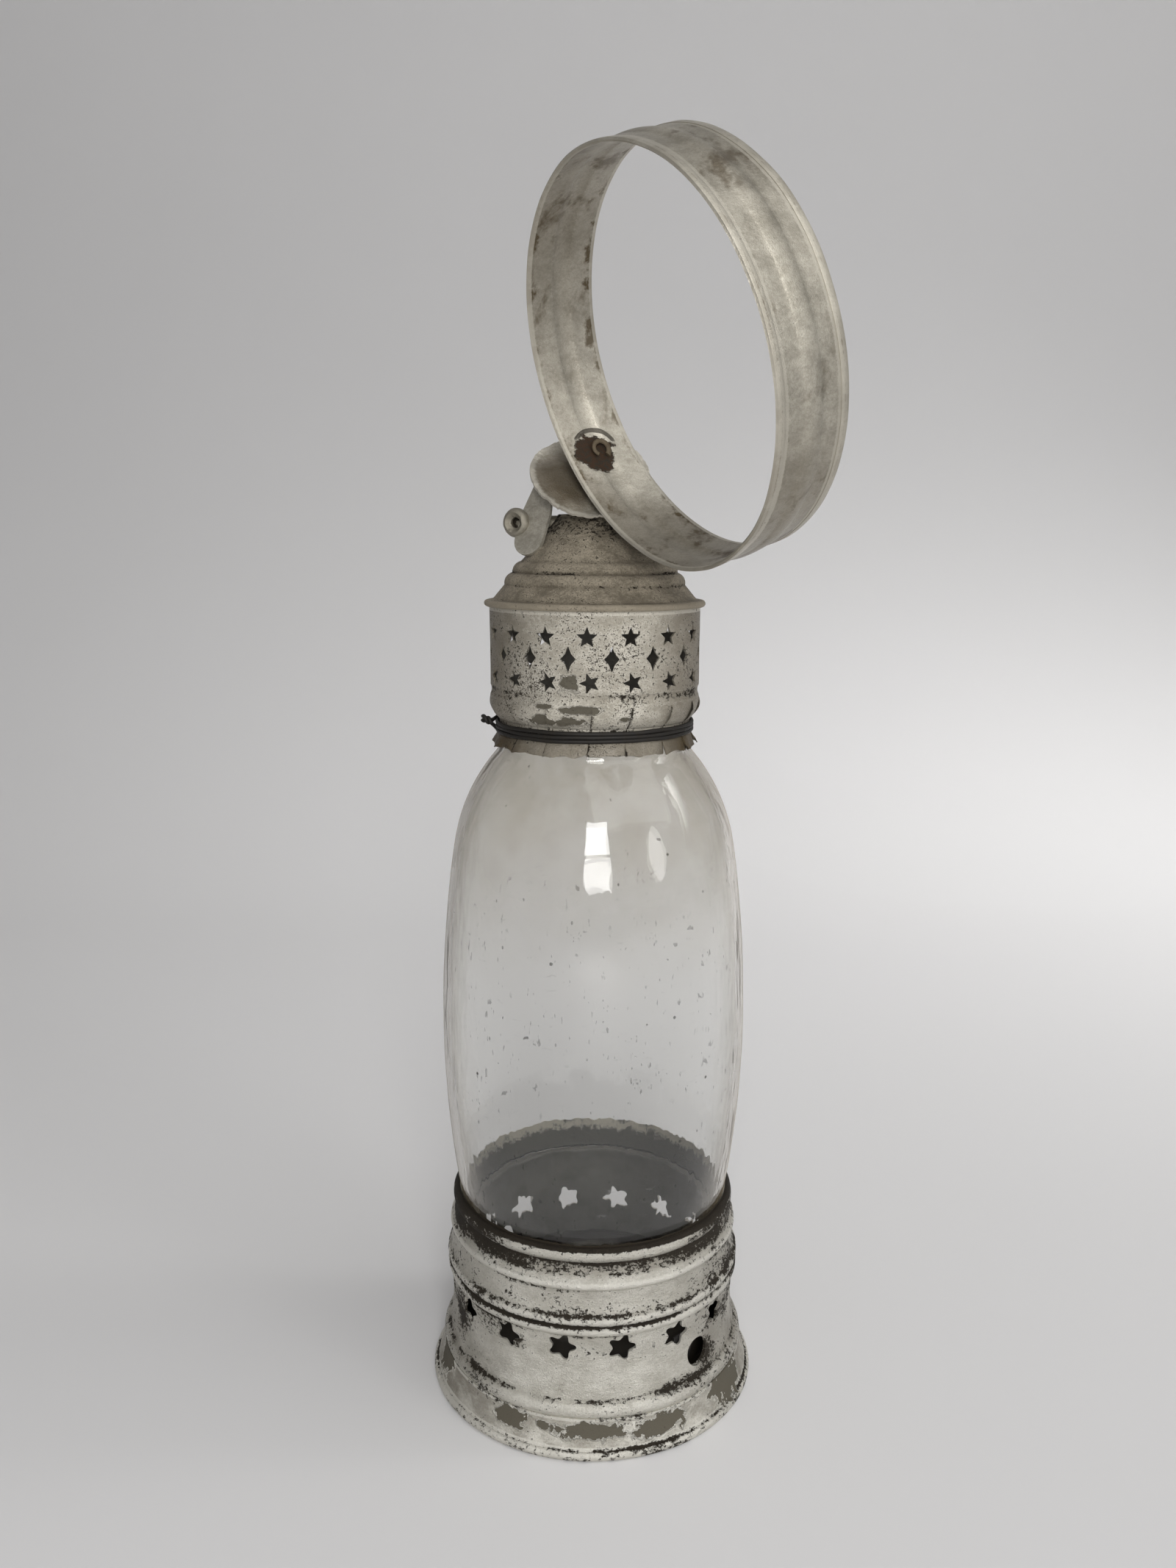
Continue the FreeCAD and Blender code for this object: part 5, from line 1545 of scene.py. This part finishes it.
class LANTERN_OT_ring(bpy.types.Operator):
    """Turn the beaded strap ring and curl its rivet"""
    bl_idname = "lantern.ring"
    bl_label = "Ring handle"

    def execute(self, context):
        size, colours = sizes_and_colours(context)
        place = HandleFrame(size)
        paint = worn_paint("strap_paint", colours.strap, colours.strap_shade, colours, pits=-0.08, dirt=0.2,
                           rust=self.rust_round(place), haze_and_shade=self.smudges(size, place), gloss=0.38,
                           shine=0.7, grit=0.3, mottle=0.9)
        self.strap(size, place, paint)
        self.rivet(size, place, colours)
        coat(frame["nodes"]["ring_boss"], paint)
        return {"FINISHED"}

    def rust_round(self, place):
        """Rust where the paint has flaked off round the rivet, and the dark lapped end above it."""
        middle = place.seat + Vector((-1.3, 0.0, -1.5)) * MM
        level = middle.z / MM

        def rust(board, spot, worn):
            away = spot.near(middle)
            rusted = board.smooth(away + (worn - 0.5) * 11.0, 6.6, 5.9)
            above = board.smooth(spot.z + (worn - 0.5) * 6.0, level + 3.6, level + 5.0)
            return rusted, board.between(away, 7.0, 7.5, 8.2, 8.6) * above
        return rust

    def smudges(self, size, place):
        """Brown finger marks along the strap and its edges, painted shade on its lower front run, which
        faces down, and more brown towards the top and the left.
        """
        half = size.ring_width / 2 / MM
        middle = place.ring_centre.dot(place.ring_axis) / MM

        def haze_and_shade(board, spot):
            streak = board.noise(spot.stretched(1.0, 0.4), "finger marks")
            along_axis = board.vector("DOT_PRODUCT", {0: spot.spot, 1: tuple(place.ring_axis)}, "Value")
            away = board.math("ABSOLUTE", along_axis - middle)
            uneven = (board.noise(spot.spot, "strap edges") - 0.5) * 22.0
            edges = board.smooth(away + uneven, half - 1.5, half + 1.2)
            # Painted shade on the strap's lower front run, which faces down
            lower = board.smooth(spot.z, 325.0, 306.0) * board.smooth(spot.y, -8.0, -16.0)
            high = board.smooth(spot.z, 345.0, 392.0)
            left = board.smooth(spot.x, 12.0, -12.0)
            marks = board.smooth(streak, 0.52, 0.66) * 0.6 + lower * 0.42
            return marks + edges * 0.75 + high * 0.22 + left * 0.16
        return haze_and_shade

    def strap(self, size, place, paint):
        inner = size.ring_radius - size.tin_wall / 2
        outer = size.ring_radius + size.tin_wall / 2
        half = size.ring_width / 2
        edge = half - size.ring_edge
        bead = size.ring_bead / 2
        fold = outer + size.ring_edge_rise
        bevel = size.ring_edge_rise * 0.5
        curve = bevel * 1.2
        outline = outline_of(size, (
            (inner, -half + bevel),
            (inner + bevel, -half),
            (fold - bevel, -half, bevel * 2),
            (fold, -half + bevel, curve),
            (fold, -edge - bevel),
            (fold - bevel, -edge, curve),
            (outer, -edge),
            (outer, -bead),
            (outer, bead, size.ring_bead_curve),
            (outer, edge),
            (fold - bevel, edge),
            (fold, edge + bevel, curve),
            (fold, half - bevel),
            (fold - bevel, half, curve),
            (inner + bevel, half),
            (inner, half - bevel, curve),
            (inner, bead),
            (inner, -bead, -size.ring_bead_curve),
        ))
        made = turned("ring_band", outline, size.ring_steps, size.dent_depth * 0.9)
        made.data.transform(place.ring_matrix)
        settle(cleaned(made), "handle", ["ring_strap"], paint)

    def rivet(self, size, place, colours):
        """Split rivet end, curled over on the strap."""
        taper, flatness = 0.35, 0.6
        sections = []
        for step in range(size.rivet_steps + 1):
            share = step / size.rivet_steps
            turn = size.rivet_start + size.rivet_sweep * share
            outward = Vector((math.cos(turn), math.sin(turn), 0))
            centre = outward * (size.rivet_reach - size.rivet_curl * share)
            centre += UP * (size.rivet_lift + size.rivet_arch * math.sin(share * math.pi))
            thick = size.rivet_thick * (1 - taper * share)
            section = []
            for corner in range(size.rivet_corners):
                spin = FULL_TURN * corner / size.rivet_corners
                reach = outward * math.cos(spin) + UP * flatness * math.sin(spin)
                section.append(centre + reach * thick)
            sections.append(section)
        made = lofted("curled_rivet", sections, closed=False)
        made.data.transform(place.rivet_matrix)
        rust = dull_metal("rusty_rivet", colours.smudge, colours.rust, 0.3, 0.6, 1.6)
        settle(cleaned(made, 60), "handle", ["ring_rivet"], rust)


class LANTERN_OT_font(bpy.types.Operator):
    """Finish the font, its burner, wicks and catches"""
    bl_idname = "lantern.font"
    bl_label = "Font and burner"

    def execute(self, context):
        colours = sizes_and_colours(context)[1]
        brass = dull_metal("tarnished_brass", colours.brass, colours.grime, 0.8, 0.35)
        steel = dull_metal("spring_steel", colours.steel, colours.rust, 0.7, 0.4)
        cotton = woven_cotton(colours)
        # Font parts blackened at their outer rim: soot, and painted shade behind the base's stars
        soot_and_shade = inside_tin("sooty_and_shaded_tin", colours, soot=0.96)
        finishes = {"font_cup": soot_and_shade, "font_flange": soot_and_shade, "font_lid": soot_and_shade,
                    "globe_seat": smoked_tin(colours),
                    "burner_collar": brass, "burner_plate": brass}
        for side in ("left", "right"):
            finishes.update({"wick_tube_" + side: brass, "wick_" + side: cotton,
                             "catch_spring_" + side: steel, "catch_nose_" + side: steel})
        for node, finish in finishes.items():
            coat(frame["nodes"][node], finish)
        return {"FINISHED"}


class LANTERN_OT_stage(bpy.types.Operator):
    """Set the pale sweep, the soft lights and the camera"""
    bl_idname = "lantern.stage"
    bl_label = "Stage"

    def execute(self, context):
        self.sweep(sizes_and_colours(context)[1])
        self.lights(context.scene)
        self.camera(context.scene)
        return {"FINISHED"}

    def sweep(self, colours):
        """Floor that curves up into a backdrop, in metres."""
        half_width, front, back, curve, height = 2.6, -3.6, 0.5, 0.9, 2.4
        steps = 32
        profile = [(front, 0.0), (back, 0.0)]
        for step in range(1, steps + 1):
            turn = QUARTER_TURN * step / steps
            profile.append((back + curve * math.sin(turn), curve * (1 - math.cos(turn))))
        profile.append((back + curve, height))
        vertices = [(side * half_width, y, z) for y, z in profile for side in (-1, 1)]
        faces = [(2 * k, 2 * k + 1, 2 * k + 3, 2 * k + 2) for k in range(len(profile) - 1)]
        made = new_object("sweep", vertices, faces)
        made.data.shade_smooth()
        coat(made, pale_sweep(colours))

    def lights(self, scene):
        """Dim room and five soft boxes: place, size, watts, spread and aim."""
        scene.world = bpy.data.worlds.new("studio")
        scene.world.use_nodes = True
        sky = scene.world.node_tree.nodes["Background"]
        sky.inputs["Color"].default_value = (0.985, 0.975, 0.985, 1.0)
        sky.inputs["Strength"].default_value = 0.21
        middle = Vector((0, 0, 0.18))
        right_floor = Vector((0.4, 0.65, 0))
        backdrop = Vector((-0.2, 1.0, 0.6))
        soft_boxes = (
            ("high window", (0.06, -1.2, 0.75), (0.42, 0.5), 9.0, 180, middle),
            ("low window", (0.075, -1.2, 0.32), (0.36, 0.26), 2.6, 180, middle),
            ("side window", (1.26, -0.985, 0.55), (0.42, 0.8), 3.0, 180, middle),
            ("ceiling", (0.75, -0.6, 2.0), (2.2, 2.2), 17.0, 180, backdrop),
            ("right", (1.35, 0.3, 0.75), (0.8, 0.8), 2.4, 58, right_floor),
        )
        for name, place, (width, height), watts, spread, aim in soft_boxes:
            light = bpy.data.lights.new(name, "AREA")
            light.shape = "ELLIPSE" if name == "side window" else "RECTANGLE"
            light.size = width
            light.size_y = height
            light.energy = watts
            light.spread = math.radians(spread)
            made = bpy.data.objects.new(name, light)
            made.location = place
            made.rotation_euler = (aim - made.location).to_track_quat("-Z", "Y").to_euler()
            scene.collection.objects.link(made)

    def camera(self, scene):
        """Camera at the photo's place and angle."""
        focal_pixels, long_side = 1763.4, 2133.0
        pitch, yaw, roll = (math.radians(turn) for turn in (10.96, 0.277, 0.2))
        camera = bpy.data.cameras.new("photo_view")
        camera.sensor_width = 36.0
        camera.lens = focal_pixels / long_side * camera.sensor_width
        camera.clip_start = 0.01
        made = bpy.data.objects.new("photo_view", camera)
        made.location = (0.0, -426.67 * MM, 295.45 * MM)
        tilted = Matrix.Rotation(QUARTER_TURN - pitch, 3, "X") @ Matrix.Rotation(roll, 3, "Z")
        made.rotation_euler = (Matrix.Rotation(yaw, 3, "Z") @ tilted).to_euler()
        scene.collection.objects.link(made)
        scene.camera = made
        scene.view_settings.view_transform = "Standard"


class LANTERN_PT_pieces(bpy.types.Panel):
    """Buttons for the lantern's pieces"""
    bl_idname = "LANTERN_PT_pieces"
    bl_label = "Tin Hand Lantern"
    bl_space_type = "VIEW_3D"
    bl_region_type = "UI"
    bl_category = "Lantern"

    def draw(self, context):
        for operator in OPERATORS:
            self.layout.operator(operator.bl_idname)


OPERATORS = (LANTERN_OT_foot, LANTERN_OT_base, LANTERN_OT_glass, LANTERN_OT_band, LANTERN_OT_wire,
             LANTERN_OT_cap, LANTERN_OT_carrier, LANTERN_OT_disc, LANTERN_OT_ring, LANTERN_OT_font,
             LANTERN_OT_stage)
CLASSES = (LanternSizes, LanternColours, *OPERATORS, LANTERN_PT_pieces)


def register():
    for kind in CLASSES:
        bpy.utils.register_class(kind)
    bpy.types.Scene.lantern_sizes = PointerProperty(type=LanternSizes)
    bpy.types.Scene.lantern_colours = PointerProperty(type=LanternColours)


def unregister():
    del bpy.types.Scene.lantern_colours
    del bpy.types.Scene.lantern_sizes
    for kind in reversed(CLASSES):
        bpy.utils.unregister_class(kind)


def main():
    register()
    for operator in OPERATORS:
        group, name = operator.bl_idname.split(".")
        getattr(getattr(bpy.ops, group), name)()


if __name__ == "__main__":
    main()
